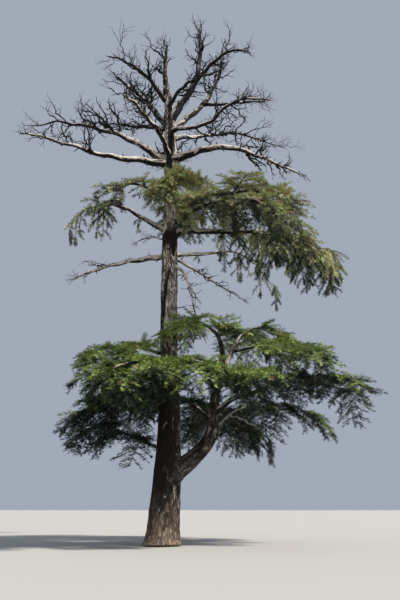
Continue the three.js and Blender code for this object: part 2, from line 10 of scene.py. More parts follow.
import bpy
import numpy as np
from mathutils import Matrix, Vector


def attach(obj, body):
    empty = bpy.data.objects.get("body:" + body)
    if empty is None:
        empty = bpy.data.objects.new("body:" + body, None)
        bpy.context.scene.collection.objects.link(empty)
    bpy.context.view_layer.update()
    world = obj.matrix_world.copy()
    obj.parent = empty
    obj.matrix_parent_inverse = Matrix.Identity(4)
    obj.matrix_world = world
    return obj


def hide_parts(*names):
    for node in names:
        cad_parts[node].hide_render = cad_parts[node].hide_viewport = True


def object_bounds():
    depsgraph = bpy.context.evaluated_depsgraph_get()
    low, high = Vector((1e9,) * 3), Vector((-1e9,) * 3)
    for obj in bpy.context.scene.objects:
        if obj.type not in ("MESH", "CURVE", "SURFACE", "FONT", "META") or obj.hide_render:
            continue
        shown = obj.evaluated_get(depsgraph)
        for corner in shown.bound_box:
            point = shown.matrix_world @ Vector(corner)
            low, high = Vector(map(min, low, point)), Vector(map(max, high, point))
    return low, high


bl_info = {
    "name": "Old Cedar",
    "version": (1, 0, 0),
    "blender": (4, 5, 0),
    "location": "View3D > Sidebar > Cedar",
    "description": "Grows an old cedar on its frame, limb by limb, with bark, twigs and sprays of needles",
    "category": "Object",
}

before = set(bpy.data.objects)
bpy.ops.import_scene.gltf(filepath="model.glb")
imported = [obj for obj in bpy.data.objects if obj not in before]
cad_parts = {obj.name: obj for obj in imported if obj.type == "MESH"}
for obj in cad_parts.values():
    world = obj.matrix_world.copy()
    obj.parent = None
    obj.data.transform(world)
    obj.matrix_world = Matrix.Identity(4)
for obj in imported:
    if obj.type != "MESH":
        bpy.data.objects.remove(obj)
CAD_LOW, CAD_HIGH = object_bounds()

# The trunk's height and its breadth there, and how far its middle has leant to the right
TRUNK_SIZES = [
    (0, 1.42), (0.9, 1.4), (2.8, 1.33), (4.6, 1.12), (9.3, 0.86), (14, 0.87), (17, 0.7),
    (19.2, 0.79), (21, 0.69), (23, 0.6), (23.9, 0.42),
]
TRUNK_LEAN = [(0, 0), (1.8, 0.15), (4.6, 0.26), (11, 0.15), (19, 0.11), (23.9, -0.09)]
FLARE_SPREAD = 0.21
FLARE_HEIGHT = 0.42
FLARE_LOBES = 3
FLARE_TURN = 0.6
FLUTES = 5
FLUTE_DEPTH = 0.045
FLUTE_FADE = 9.0
FLUTE_TWIST = 4.0

# A limb's path in even steps, each turned and lifted a little by chance, and its taper and collar
PATH_STEPS = 10
STEP_SHARES = np.arange(PATH_STEPS + 1) / PATH_STEPS
CROOK_TURN = 13
CROOK_RISE = 9
TAPER = 0.9
COLLAR = 0.3
COLLAR_LENGTH = 2.2
TIP_SHARE = 0.12

# Pale and dark zones of the trunk, partly its bark's own patches and partly painted sunlight and painted
# shadow: height, heading, half height, half width in degrees and paleness
BARK_AND_LIGHT_ZONES = [
    (22.6, 284, 0.8, 20, -0.6), (21.5, 278, 0.8, 20, -0.6), (20.4, 272, 0.8, 20, -0.6),
    (19.4, 260, 0.7, 24, -0.6),
    (21.2, 230, 1.6, 22, 0.5), (19.6, 312, 0.8, 28, 0.55), (22.2, 330, 1.0, 26, 0.3),
    (16.2, 255, 0.7, 50, 0.8), (15.1, 205, 0.3, 50, 0.4), (14.7, 270, 0.45, 120, -0.6),
    (14.1, 298, 0.5, 18, -0.5), (13.3, 281, 0.5, 18, -0.5), (12.5, 264, 0.5, 18, -0.5),
    (11.7, 247, 0.5, 18, -0.5),
    (10.9, 230, 0.5, 18, -0.5), (10.2, 215, 0.5, 18, -0.5), (13.6, 262, 0.5, 20, 0.3),
    (11.4, 292, 1.9, 34, 0.9), (12.2, 230, 2.2, 60, 0.12), (11.8, 205, 2.2, 26, -0.1),
    (4.6, 225, 2.6, 50, -0.3), (5.6, 300, 2.0, 60, -0.2), (2.4, 270, 1.6, 120, -0.1),
]

# Where the side twigs of a mass stand on its stem, and how they are sized, as in the solids
STEM_HIDDEN = 0.2
STEM_HIDDEN_AT_BOUGH = 0.04
STEM_END = 0.95
TWIG_THICKNESS = 0.026
TWIG_TO_PARENT = 0.62
LOWEST_RISE = -86
LEAFY_TWIG = 0.52
BLADE_PLACE = 0.72
BLADE_REACH = 0.94
TIP_BLADE = 1.3
TIP_PLACE = 0.9

# The spread of the finer side twigs in each layer, as a share of that in the solids
FINER_SPREADS = (1, 0.7, 0.3)

WORLD_UP = np.array((0.0, 0.0, 1.0))


class Habit(NamedTuple):
    """How a mass grows: its twigs' spacing, spread, roll out of the pad and droop, and its sprays' hang."""

    spacing: float
    spread: float
    roll: float
    droop: float
    leafy: bool
    hang: float

    @property
    def weeps(self):
        return self.hang > 40


HABITS = {
    "bare": Habit(0.96, 50, 60, -8, False, 0),
    "pad": Habit(0.9, 58, 14, 10, True, 24),
    "weeping": Habit(0.86, 55, 25, 24, True, 50),
}


class Limb(NamedTuple):
    """A limb that starts on the trunk at a height, or on another limb at a share of its bare part.

    Its rises stand at even places along it. It is bare up to a share of its length, and from there it
    carries side twigs that reach out so far. Leafage is how many of the finer twigs between them it has.
    """

    name: str
    habit: str
    on: str
    where: float
    heading: float
    turn: float
    rises: tuple
    length: float
    across: float
    bare: float
    reach: float
    seed: int
    tip: float = 0
    leafage: float = 1


LIMBS = [
    Limb("arm", "bough", "trunk", 2.8, -5, 0, (37, 36, 38, 52, 74), 3.1, 0.9, 1, 0, 5, 0.64),
    Limb("arm_upright", "bough", "arm", 1, -10, 60, (92, 82, 72, 82, 100), 4, 0.59, 1, 0, 6, 0.27),
    Limb("leader_left", "bare", "trunk", 23.3, 130, 0, (78, 76, 84, 100, 96), 4.6, 0.43, 0.4, 2, 11),
    Limb("leader_right", "bare", "trunk", 22, -5, 10, (58, 60, 78, 90, 84), 7.1, 0.47, 0.5, 1.8, 12),
    Limb("leader_outer", "bare", "leader_right", 0.84, -30, -10, (34, 38, 4, -26, -54),
         4.4, 0.25, 0, 1.7, 13),
    Limb("left_inner", "bare", "trunk", 23.2, 222, 0, (26, 36, 14, -6, -26),
         4.7, 0.28, 0, 1.9, 14, leafage=0.6),
    Limb("left_steep", "bare", "trunk", 21.5, 152, 0, (50, 58, 50, 48, 48),
         7.3, 0.4, 0, 2.1, 15, leafage=0.8),
    Limb("left_short", "bare", "trunk", 21.5, 138, 6, (30, 26, 26, 26, 20),
         6.7, 0.26, 0, 1.9, 16, leafage=0.6),
    Limb("left_long", "bare", "trunk", 19.3, 169, 0, (38, 37, 22, 12, -11),
         9.9, 0.47, 0.3, 2, 17, leafage=0.4),
    Limb("left_level", "bare", "trunk", 19.2, 196, 0, (8, -5, 6, 12, -8),
         8.4, 0.45, 0.4, 1.7, 18, leafage=0.4),
    Limb("right_steep", "bare", "trunk", 21.3, 36, -6, (48, 49, 60, 72, 84), 8.3, 0.4, 0.5, 2.1, 19),
    Limb("right_arching", "bare", "right_steep", 0.86, -10, 0, (-14, -8, 0, -4, -14), 4, 0.22, 0, 1.8, 20),
    Limb("right_hooked", "bare", "trunk", 21.3, -38, 0, (-10, -12, 22, -28, -36), 7.4, 0.27, 0, 1.5, 21),
    Limb("right_level", "bare", "trunk", 20.8, 34, -6, (24, 25, 19, 2, -4), 9.2, 0.29, 0, 1.9, 22),
    Limb("right_long", "bare", "trunk", 19.4, -18, 0, (10, 0, -26, -38, -34),
         8.1, 0.48, 0.4, 1.5, 23, leafage=0.7),
    Limb("front_crossing", "bare", "trunk", 22.6, 290, 60, (34, 16, 6, 4, 8), 4.4, 0.24, 0, 1.8, 24),
    Limb("back_dead", "bare", "trunk", 20.1, 88, 10, (34, 34, 26, 16, 2), 7.6, 0.36, 0, 1.9, 25, leafage=0.7),
    Limb("front_dead", "bare", "trunk", 19.6, 252, -10, (14, 6, -2, -8, -16), 6, 0.3, 0, 1.6, 26),
    Limb("middle_left_upper", "pad", "trunk", 17.2, 214, -6, (4, 6, -14, -42, -56),
         4.9, 0.26, 0, 1.7, 31, leafage=0.25),
    Limb("middle_left", "weeping", "trunk", 15.2, 178, 0, (24, 34, 24, -26, -64),
         6.3, 0.34, 0.4, 1.5, 32, leafage=0.2),
    Limb("middle_front", "pad", "trunk", 17, 264, 50, (45, 20, -45, -70, -78),
         3.4, 0.24, 0, 1.7, 33, leafage=3.4),
    Limb("middle_right_upper", "pad", "trunk", 15.6, -20, -6, (20, 22, 4, -24, -48),
         7, 0.45, 0.3, 2.2, 34, leafage=0.55),
    Limb("middle_right_front", "pad", "middle_right_upper", 0.86, -60, 10, (-14, -18, -20, -30, -44),
         6, 0.26, 0, 2, 35, leafage=0.5),
    Limb("middle_right_far", "weeping", "trunk", 15, 12, 0, (12, 7, 0, -16, -62),
         9.8, 0.39, 0.4, 2.2, 36, leafage=0.5),
    Limb("middle_right_low", "weeping", "middle_right_far", 0.86, -24, 0, (-10, -16, -22, -36, -60),
         5.6, 0.24, 0, 1.9, 37, leafage=0.4),
    Limb("middle_pale", "weeping", "trunk", 13.8, 32, 0, (12, 20, 10, -34, -70),
         7.8, 0.26, 0.5, 1.3, 38, leafage=0.2),
    Limb("middle_back", "pad", "trunk", 16.9, 62, 10, (36, 30, 12, -10, -36),
         7.2, 0.34, 0, 2.3, 39, leafage=0.4),
    Limb("dead_falling", "bare", "trunk", 13.8, 20, 0, (-23, -26, -26, -22, -40), 5.1, 0.21, 0, 1, 40),
    Limb("dead_hanging", "bare", "trunk", 13.3, -30, 20, (-20, -66, -82, -72, -64), 5.2, 0.19, 0, 0.9, 41),
    Limb("dead_left_low", "bare", "trunk", 13.8, 165, 0, (0, -5, -5, -17, -24), 5.7, 0.32, 0.5, 1.3, 42),
    Limb("low_over", "pad", "arm_upright", 1, 220, -30, (78, 40, 0, -20, -36), 3.4, 0.25, 0, 1.8, 51),
    Limb("low_right_top", "pad", "arm_upright", 0.66, 50, 0, (56, 62, 34, 0, -14),
         6.2, 0.3, 0.4, 2, 52, leafage=0.65),
    Limb("low_right_second", "pad", "low_right_top", 0.62, -34, 0, (0, 8, -10, -20, -40),
         4.9, 0.19, 0, 2.1, 53, leafage=0.65),
    Limb("low_right_long", "pad", "arm_upright", 0.18, -6, 0, (36, 22, 14, -10, -34),
         7.1, 0.3, 0.35, 2.2, 54, leafage=0.6),
    Limb("low_right_under", "pad", "arm", 0.96, 34, 0, (38, 30, 10, -4, -24),
         6.7, 0.28, 0.35, 2, 55, leafage=0.6),
    Limb("low_right_hanging", "weeping", "low_right_under", 0.5, -36, 0, (-10, -20, -30, -40, -46),
         2.4, 0.17, 0, 1.2, 56, leafage=0.5),
    Limb("low_inner", "pad", "arm_upright", 0.1, 208, 10, (34, 30, 22, 4, -14), 4.1, 0.22, 0, 1.5, 57),
    Limb("low_arm_back", "pad", "arm_upright", 0.25, 84, 10, (20, 6, -6, -16, -28), 6.4, 0.28, 0, 2.2, 58),
    Limb("low_front_right", "pad", "trunk", 7.6, -66, 6, (16, 4, -12, -24, -34), 5.8, 0.24, 0, 2.1, 59),
    Limb("low_right_inner", "pad", "arm_upright", 0.5, -58, 0, (24, 10, -6, -16, -28),
         4.6, 0.22, 0, 2, 65, leafage=0.6),
    Limb("low_front_left", "pad", "trunk", 7.6, 244, -10, (20, 6, -12, -26, -36), 5.4, 0.26, 0, 2.1, 60),
    Limb("low_left_top", "pad", "trunk", 8.4, 192, 6, (23, 14, -2, -16, -28), 4, 0.21, 0, 1.7, 61),
    Limb("low_left_long", "pad", "trunk", 6.3, 156, 0, (18, 8, -4, -12, -26), 5.1, 0.27, 0, 2, 62),
    Limb("low_left_under", "pad", "trunk", 4.1, 204, 0, (8, 16, 26, -4, -36), 4.3, 0.2, 0, 1.5, 63),
    Limb("low_back", "pad", "trunk", 7.3, 114, 10, (18, 12, 0, -12, -26), 6.4, 0.28, 0, 2.2, 64),
]

# Dead stubs on the trunk that are too small for a solid of their own
SNAGS = [
    Limb("snag_left", "bare", "trunk", 14.6, 176, 0, (24, 20, -10, -32, -14), 2.3, 0.13, 0, 0.8, 81),
    Limb("snag_right", "bare", "trunk", 18.8, -24, 0, (-30, -40, -44, -36, -40), 1.9, 0.12, 0, 0.7, 82),
    Limb("snag_slant", "bare", "trunk", 18.2, -8, 0, (-30, -24, -34, -40, -30), 1.7, 0.1, 0, 0.6, 83),
    Limb("snag_stub", "bare", "trunk", 12.6, 10, 0, (14, 20, 6, 40, 10), 1.4, 0.1, 0, 0.5, 84),
    Limb("snag_low", "bare", "trunk", 10.9, -30, 0, (6, -10, -4, 10, 20), 1.1, 0.08, 0, 0.4, 85),
    Limb("snag_front", "bare", "trunk", 5.4, 262, 0, (-6, -20, -26, -30, -40), 1.3, 0.11, 0, 0.5, 86),
]

# The limbs that make the second stem, and those living ones that look like dead wood
SECOND_STEM = ("arm", "arm_upright", "low_over")
PALE_BOUGHS = ("middle_pale",)

# The sides and rings of a limb, how much of its length its tip is rounded over and how blunt it ends, how
# much fuller a dead one is at its tip, and where its bark's pattern starts
LIMB_SIDES = 16
LIMB_RINGS = 84
TIP_ROUNDING = 0.06
TIP_BLUNT = 0.04
FULLER_TIP = 0.6
GRAIN_START = (1, 0.7, 3.1)


# What is added to a limb's seed for its twigs in the solids, the finer ones in each layer and its bough's
TWIG_SEED = 500
FINER_SEED = 900
LAYER_SEED = 37
BOUGH_SEED = 700

# Heights: where bare limbs get painted light from and to, where painted shade darkens them from, and where
# the bark is tan up to
LIT_FROM = 10.5
LIT_TO = 17.5
SHADE_FROM = 21.3
TAN_TO = 2.3


# The growing rule, as in the solids


class Chance:
    """Numbers from 0 to 1 that come out the same on every run."""

    def __init__(self, seed):
        self.state = (seed * 7919 + 17) % 2**32

    def draw(self):
        self.state = (self.state * 1664525 + 1013904223) % 2**32
        return self.state / 2**32


def toward(heading, rise):
    """The direction with this heading and rise."""
    turn, lift = math.radians(heading), math.radians(rise)
    level = math.cos(lift)
    return np.array((level * math.cos(turn), level * math.sin(turn), math.sin(lift)))


def along(values, share):
    """The value that a list of evenly spaced values has at a share of its way."""
    return float(np.interp(share * (len(values) - 1), range(len(values)), values))


def read_off(pairs, value):
    """The second value of a list of pairs, read off at the first."""
    return np.interp(value, [pair[0] for pair in pairs], [pair[1] for pair in pairs])


def unit(vectors):
    """The same directions at length 1."""
    return vectors / np.maximum(np.linalg.norm(vectors, axis=-1, keepdims=True), 1e-9)


def path_length(points):
    """The length of a path, or of each path of an array of them."""
    return np.linalg.norm(np.diff(points, axis=-2), axis=-1).sum(axis=-1)


def point_on(line, at):
    """The point that lies a number of steps along a line."""
    return np.array([np.interp(at, range(len(line)), line[:, k]) for k in range(3)])


def turned(start, end, angle):
    """Directions that are turned from one set towards another, each by its angle."""
    return start * np.cos(angle)[:, None] + end * np.sin(angle)[:, None]


def trunk_radius(height, angle):
    """The trunk's half breadth at heights and angles round it."""
    lobes = 1 + 0.5 * np.cos(FLARE_LOBES * angle + FLARE_TURN)
    flare = FLARE_SPREAD * np.exp(-height / FLARE_HEIGHT) * lobes
    flutes = FLUTE_DEPTH * np.exp(-height / FLUTE_FADE) * np.cos(FLUTES * angle + height / FLUTE_TWIST)
    return read_off(TRUNK_SIZES, height) / 2 * (1 + flutes) + flare


def smoothed(points, parts):
    """A curve through points, each step of it cut into parts."""
    padded = np.concatenate((2 * points[:1] - points[1:2], points, 2 * points[-1:] - points[-2:-1]))
    before, start, end, after = padded[:-3], padded[1:-2], padded[2:-1], padded[3:]
    shape = (1,) * (points.ndim - 1)
    curve = []
    for t in np.arange(parts) / parts:
        t = t.reshape(shape)
        curve.append(0.5 * (2 * start + (end - before) * t + (2 * before - 5 * start + 4 * end - after) * t**2
                            + (3 * start - before - 3 * end + after) * t**3))
    steps = np.stack(curve, axis=1).reshape(-1, *points.shape[1:])
    return np.concatenate((steps, points[-1:]))


class Grown:
    """A limb with its crooked middle line, and its half breadths, at each step and smoothed."""

    PARTS = 4

    def __init__(self, limb, start):
        self.limb = limb
        self.points = self.path(start)
        self.radii = self.half_breadths()
        line = smoothed(self.points, self.PARTS)
        self.widths = np.interp(np.arange(len(line)) / self.PARTS, np.arange(PATH_STEPS + 1), self.radii)
        self.line = line + self.knots(len(line))
        self.split = int(limb.bare * PATH_STEPS + 0.5)
        goes_on = self.split > 0 or (limb.on != "trunk" and limb.where == 1)
        self.hidden = STEM_HIDDEN_AT_BOUGH if goes_on else STEM_HIDDEN

    def path(self, start):
        limb, chance = self.limb, Chance(self.limb.seed)
        points = [start]
        for step in range(PATH_STEPS):
            share = (step + 0.5) / PATH_STEPS
            sign = 1 if step % 2 else -1
            heading = limb.heading + limb.turn * share + sign * CROOK_TURN * chance.draw()
            rise = along(limb.rises, share) + sign * CROOK_RISE * (chance.draw() - 0.3)
            points.append(points[-1] + toward(heading, rise) * limb.length / PATH_STEPS)
        return np.array(points)

    def knots(self, count):
        """Small kinks of the middle line, none at its ends."""
        kinks = np.random.default_rng(self.limb.seed).normal(0, 1, (count, 3))
        kinks[1:-1] = kinks[:-2] / 4 + kinks[1:-1] / 2 + kinks[2:] / 4
        ends = np.clip(np.minimum(np.arange(count), np.arange(count)[::-1]) / 3, 0, 1)
        return kinks * (ends * (0.12 * self.widths + 0.012))[:, None]

    def collar(self):
        """How much the limb is thickened at each step, which is most at its root."""
        limb = self.limb
        return 1 + COLLAR * np.maximum(0, 1 - STEP_SHARES * limb.length / (COLLAR_LENGTH * limb.across))

    def half_breadths(self):
        limb = self.limb
        tip = limb.tip or limb.across * TIP_SHARE
        return (limb.across + (tip - limb.across) * STEP_SHARES**TAPER) / 2 * self.collar()

    def place(self, share):
        """A point on the stem of the limb's mass, with the stem's direction and half breadth there."""
        return self.place_at(self.split + share * (PATH_STEPS - self.split))

    def place_at(self, at):
        """The same at a number of steps from the limb's start."""
        step = min(int(at), PATH_STEPS - 1)
        tangent = unit(self.points[step + 1] - self.points[step])
        radius = float(np.interp(at, range(PATH_STEPS + 1), self.radii))
        return point_on(self.line, at * self.PARTS), tangent, radius

    def stem_length(self):
        return self.limb.length * (PATH_STEPS - self.split) / PATH_STEPS * (1 - self.hidden)


def limb_start(limb, grown):
    """Where a limb's middle line starts: on the trunk's, or on the bare part of the limb it grows on."""
    if limb.on == "trunk":
        return np.array((read_off(TRUNK_LEAN, limb.where), 0.0, limb.where))
    parent = grown[limb.on]
    return point_on(parent.points[: parent.split + 1], limb.where * parent.split)


def grow_limbs():
    grown = {}
    for limb in LIMBS + SNAGS:
        grown[limb.name] = Grown(limb, limb_start(limb, grown))
    return grown


GROWN = grow_limbs()


def branch_off(tangent, spread, roll):
    """A direction that leaves a stem's by an angle, rolled about the stem out of the level."""
    side = np.array((-tangent[1], tangent[0], 0.0))
    if np.linalg.norm(side) < 0.2:
        side = np.array((-0.4, 1.0, 0.0))
    side = unit(side)
    up = unit(np.cross(tangent, side))
    outward = side * math.cos(math.radians(roll)) + up * math.sin(math.radians(roll))
    return tangent * math.cos(math.radians(spread)) + outward * math.sin(math.radians(spread))


def bent_path(start, direction, length, steps, droop):
    """A twig's path in even steps, each bent down from the last by the droop."""
    rise = math.degrees(math.atan2(direction[2], math.hypot(direction[0], direction[1])))
    heading = math.degrees(math.atan2(direction[1], direction[0]))
    points = [start]
    for _ in range(steps):
        points.append(points[-1] + toward(heading, rise) * length / steps)
        rise = max(rise - droop, LOWEST_RISE)
    return np.array(points)


def reach_share(share, leafy):
    """Leafy twigs are longest a little way out along the stem, and dead ones at its root."""
    return 0.55 + 0.45 * math.sin(math.pi * (0.25 + 0.6 * share)) if leafy else 1 - 0.5 * share


def leafy_path(start, direction, reach, habit, hang, turn):
    """A side twig and the middle of the spray pad that it carries, as one path of six points."""
    twig = bent_path(start, direction, reach * LEAFY_TWIG, 2, habit.droop)
    root = twig[1] + (twig[2] - twig[1]) * (2 * BLADE_PLACE - 1)
    tangent = unit(twig[2] - twig[1])
    heading = math.degrees(math.atan2(tangent[1], tangent[0])) + turn
    rise = max(math.degrees(math.asin(tangent[2])) - hang, LOWEST_RISE)
    forward = toward(heading, rise)
    bow = toward(heading, rise + 90) * reach * 0.05
    length = reach * BLADE_REACH
    outer = [root + forward * length * part + bow * math.sin(math.pi * part) for part in (1 / 3, 2 / 3, 1)]
    return np.array([twig[0], twig[1], root, *outer])


class Shoot(NamedTuple):
    """A side twig of a mass: its path, its length and the half breadth of what it grows on."""

    path: np.ndarray
    length: float
    thickest: float


def side_shoots(grown, seed, count, fullness=1.0, outward=1.0, narrowness=1.0):
    """The side twigs of a mass by the solids' rule, at a share of their reach and spread, crowded outward."""
    habit = HABITS[grown.limb.habit]
    chance = Chance(seed)
    shoots = []
    for i in range(count):
        way = ((i + 0.3 + 0.4 * chance.draw()) / count) ** outward
        share = grown.hidden + (STEM_END - grown.hidden) * way
        point, tangent, radius = grown.place(share)
        roll = (180 if i % 2 else 0) + habit.roll * (2 * chance.draw() - 1)
        direction = branch_off(tangent, habit.spread * narrowness + 16 * (chance.draw() - 0.5), roll)
        reach = grown.limb.reach * (0.8 + 0.3 * chance.draw()) * reach_share(share, habit.leafy) * fullness
        if habit.leafy:
            hang = habit.hang * (0.3 + 1.4 * chance.draw())
            path = leafy_path(point, direction, reach, habit, hang, 24 * (chance.draw() - 0.5))
        else:
            # The two draws that a leafy twig makes, so that both kinds take the same number
            chance.draw()
            chance.draw()
            path = bent_path(point, direction, reach, 5, habit.droop / 2)
        shoots.append(Shoot(path, path_length(path), radius))
    return shoots


def bough_shoots(grown, spacing, seed):
    """Short leafy twigs on the outer half of the bare bough before a mass."""
    habit = HABITS[grown.limb.habit]
    chance = Chance(seed)
    bough = grown.limb.length * grown.split / PATH_STEPS
    count = int(bough * 0.6 / spacing * min(grown.limb.leafage, 1) ** 0.5)
    shoots = []
    for i in range(count):
        way = 0.4 + 0.6 * (i + chance.draw()) / count
        point, tangent, radius = grown.place_at(way * grown.split)
        roll = (180 if i % 2 else 0) + 30 * (2 * chance.draw() - 1)
        direction = branch_off(tangent, habit.spread, roll)
        reach = grown.limb.reach * (0.4 + 0.4 * chance.draw()) * way
        path = leafy_path(point, direction, reach, habit, habit.hang, 24 * (chance.draw() - 0.5))
        shoots.append(Shoot(path, path_length(path), radius))
    return shoots


def mass_shoots(grown, finer, fullness, outward=1.0):
    """The side twigs that a mass has in the solids, its tip, and the finer side twigs between them."""
    habit = HABITS[grown.limb.habit]
    count = int(grown.stem_length() / habit.spacing + 0.5)
    shoots = side_shoots(grown, grown.limb.seed + TWIG_SEED, count)
    layers = finer * grown.limb.leafage
    for layer in range(math.ceil(layers)):
        seed = grown.limb.seed + FINER_SEED + LAYER_SEED * layer
        kind = layer % len(FINER_SPREADS)
        finer_shoots = side_shoots(grown, seed, count, fullness[kind], outward, FINER_SPREADS[kind])
        shoots += finer_shoots[: int(len(finer_shoots) * min(layers - layer, 1) + 0.5)]
    if habit.leafy:
        point, tangent, radius = grown.place(TIP_PLACE)
        path = leafy_path(point, tangent, TIP_BLADE / (BLADE_REACH + LEAFY_TWIG), habit, habit.hang * 0.3, 0)
        shoots.append(Shoot(path, TIP_BLADE, radius))
    return shoots


# Many twigs at once


class Twigs:
    """Many twigs with the same number of points: their lines, half breadths and lengths."""

    def __init__(self, lines, widths):
        self.lines = lines
        self.widths = widths
        self.lengths = path_length(lines)

    def kept(self, mask):
        return Twigs(self.lines[mask], self.widths[mask])

    def at(self, owner, share):
        """Points on the twigs with these numbers at these shares, with direction and half breadth."""
        last = self.lines.shape[1] - 1
        place = np.clip(share * last, 0, last - 1e-6)
        index = place.astype(int)
        rest = (place - index)[:, None]
        start, end = self.lines[owner, index], self.lines[owner, index + 1]
        width = self.widths[owner, index] * (1 - rest[:, 0]) + self.widths[owner, index + 1] * rest[:, 0]
        return start + (end - start) * rest, unit(end - start), width


def twigs_from(shoots, parts, thickness):
    """The first, thickest twigs, smoothed along their paths."""
    paths = np.stack([shoot.path for shoot in shoots], axis=1)
    lines = np.swapaxes(smoothed(paths, parts), 0, 1)
    lengths = np.array([shoot.length for shoot in shoots])
    thickest = np.array([shoot.thickest for shoot in shoots])
    root = np.minimum(thickest * TWIG_TO_PARENT, lengths * thickness)
    return Twigs(lines, root[:, None] * np.linspace(1, 0.25, lines.shape[1])[None])


def level_frame(tangent):
    """The level direction beside each tangent, and the one that completes the pair."""
    side = np.stack((-tangent[:, 1], tangent[:, 0], np.zeros(len(tangent))), axis=1)
    flat = np.linalg.norm(side, axis=1) < 0.08
    side[flat] = (0.0, 1.0, 0.0)
    side = unit(side)
    return side, np.cross(tangent, side)


def spread_out(lengths, spacing, chance, first=0.12, last=1.0):
    """The owner and the share of what stands along each twig at a spacing, and its number on the twig."""
    counts = np.maximum(1, np.round(lengths * (last - first) / spacing).astype(int))
    owner = np.repeat(np.arange(len(lengths)), counts)
    number = np.arange(len(owner)) - np.repeat(np.cumsum(counts) - counts, counts)
    share = first + (last - first) * (number + 0.25 + 0.5 * chance.random(len(owner))) / counts[owner]
    return owner, share, number


def branched(parents, owner, share, spread, roll, lengths, steps, sink, wander, chance, thickness):
    """Twigs that grow on others: each leaves by its spread and roll, sinks, and wanders by chance."""
    start, tangent, width = parents.at(owner, share)
    side, up = level_frame(tangent)
    heading = turned(tangent, turned(side, up, roll), spread)
    lines = [start]
    for _ in range(steps):
        lines.append(lines[-1] + heading * (lengths / steps)[:, None])
        heading = unit(heading + chance.normal(0, wander, heading.shape) - WORLD_UP * sink / steps)
    root = np.minimum(width * 0.8, lengths * thickness)
    return Twigs(np.stack(lines, axis=1), root[:, None] * np.linspace(1, 0.3, steps + 1)[None])


def bars(twigs, sides):
    """Tapering bars along twigs, with a cap at the root and a point at the tip: vertices and triangles."""
    lines, widths = twigs.lines, twigs.widths
    count, points = lines.shape[:2]
    tangent = unit(np.gradient(lines, axis=1))
    whole = unit(lines[:, -1] - lines[:, 0])
    aside = np.where(np.abs(whole[:, 2:]) < 0.8, WORLD_UP, np.array((1.0, 0.0, 0.0)))
    side = unit(np.cross(tangent, aside[:, None, :]))
    up = np.cross(tangent, side)
    angle = 2 * np.pi * np.arange(sides) / sides
    ring = np.cos(angle)[:, None] * side[:, :-1, None, :] + np.sin(angle)[:, None] * up[:, :-1, None, :]
    rings = lines[:, :-1, None, :] + widths[:, :-1, None, None] * ring
    vertices = np.concatenate((rings.reshape(count, -1, 3), lines[:, -1:]), axis=1)
    one = bar_triangles(sides, points - 1)
    faces = one[None] + (np.arange(count) * vertices.shape[1])[:, None, None]
    return vertices.reshape(-1, 3), faces.reshape(-1, 3)


def bar_triangles(sides, rings):
    """The triangles of one bar: its root cap, its wall and its point."""
    faces = [(0, k + 1, k) for k in range(1, sides - 1)]
    for ring in range(rings - 1):
        for k in range(sides):
            a, b = ring * sides + k, ring * sides + (k + 1) % sides
            faces += [(a, b, b + sides), (a, b + sides, a + sides)]
    last = (rings - 1) * sides
    faces += [(last + k, last + (k + 1) % sides, rings * sides) for k in range(sides)]
    return np.array(faces)


def inside_crown(twigs, margin=0.12):
    """True for each twig that stays inside the frame's box."""
    low = np.array(CAD_LOW) - margin
    high = np.array(CAD_HIGH) + margin
    return np.all((twigs.lines > low) & (twigs.lines < high), axis=(1, 2))


def clear_of_trunk(points, room):
    """True for each point that stands at least this far out of the trunk."""
    middle = read_off(TRUNK_LEAN, points[:, 2])
    out = np.hypot(points[:, 0] - middle, points[:, 1])
    inside = (out < read_off(TRUNK_SIZES, points[:, 2]) / 2 + room) & (points[:, 2] < TRUNK_SIZES[-1][0])
    return ~inside


# Shader sums


class Channel:
    """A shader value that takes part in sums. Each sum adds a Math node."""

    def __init__(self, tree, socket):
        self.tree = tree
        self.socket = socket

    def _sum(self, operation, first, second):
        node = self.tree.nodes.new("ShaderNodeMath")
        node.operation = operation
        for place, value in zip(node.inputs, (first, second)):
            if isinstance(value, Channel):
                self.tree.links.new(value.socket, place)
            else:
                place.default_value = value
        return Channel(self.tree, node.outputs[0])

    def __add__(self, other):
        return self._sum("ADD", self, other)

    def __sub__(self, other):
        return self._sum("SUBTRACT", self, other)

    def __rsub__(self, other):
        return self._sum("SUBTRACT", other, self)

    def __mul__(self, other):
        return self._sum("MULTIPLY", self, other)

    def __truediv__(self, other):
        return self._sum("DIVIDE", self, other)

    def step(self, low, high):
        """0 below low, 1 above high and even between, and kept from 0 to 1."""
        part = (self - low) / (high - low)
        return part._sum("MINIMUM", part._sum("MAXIMUM", part, 0.0), 1.0)


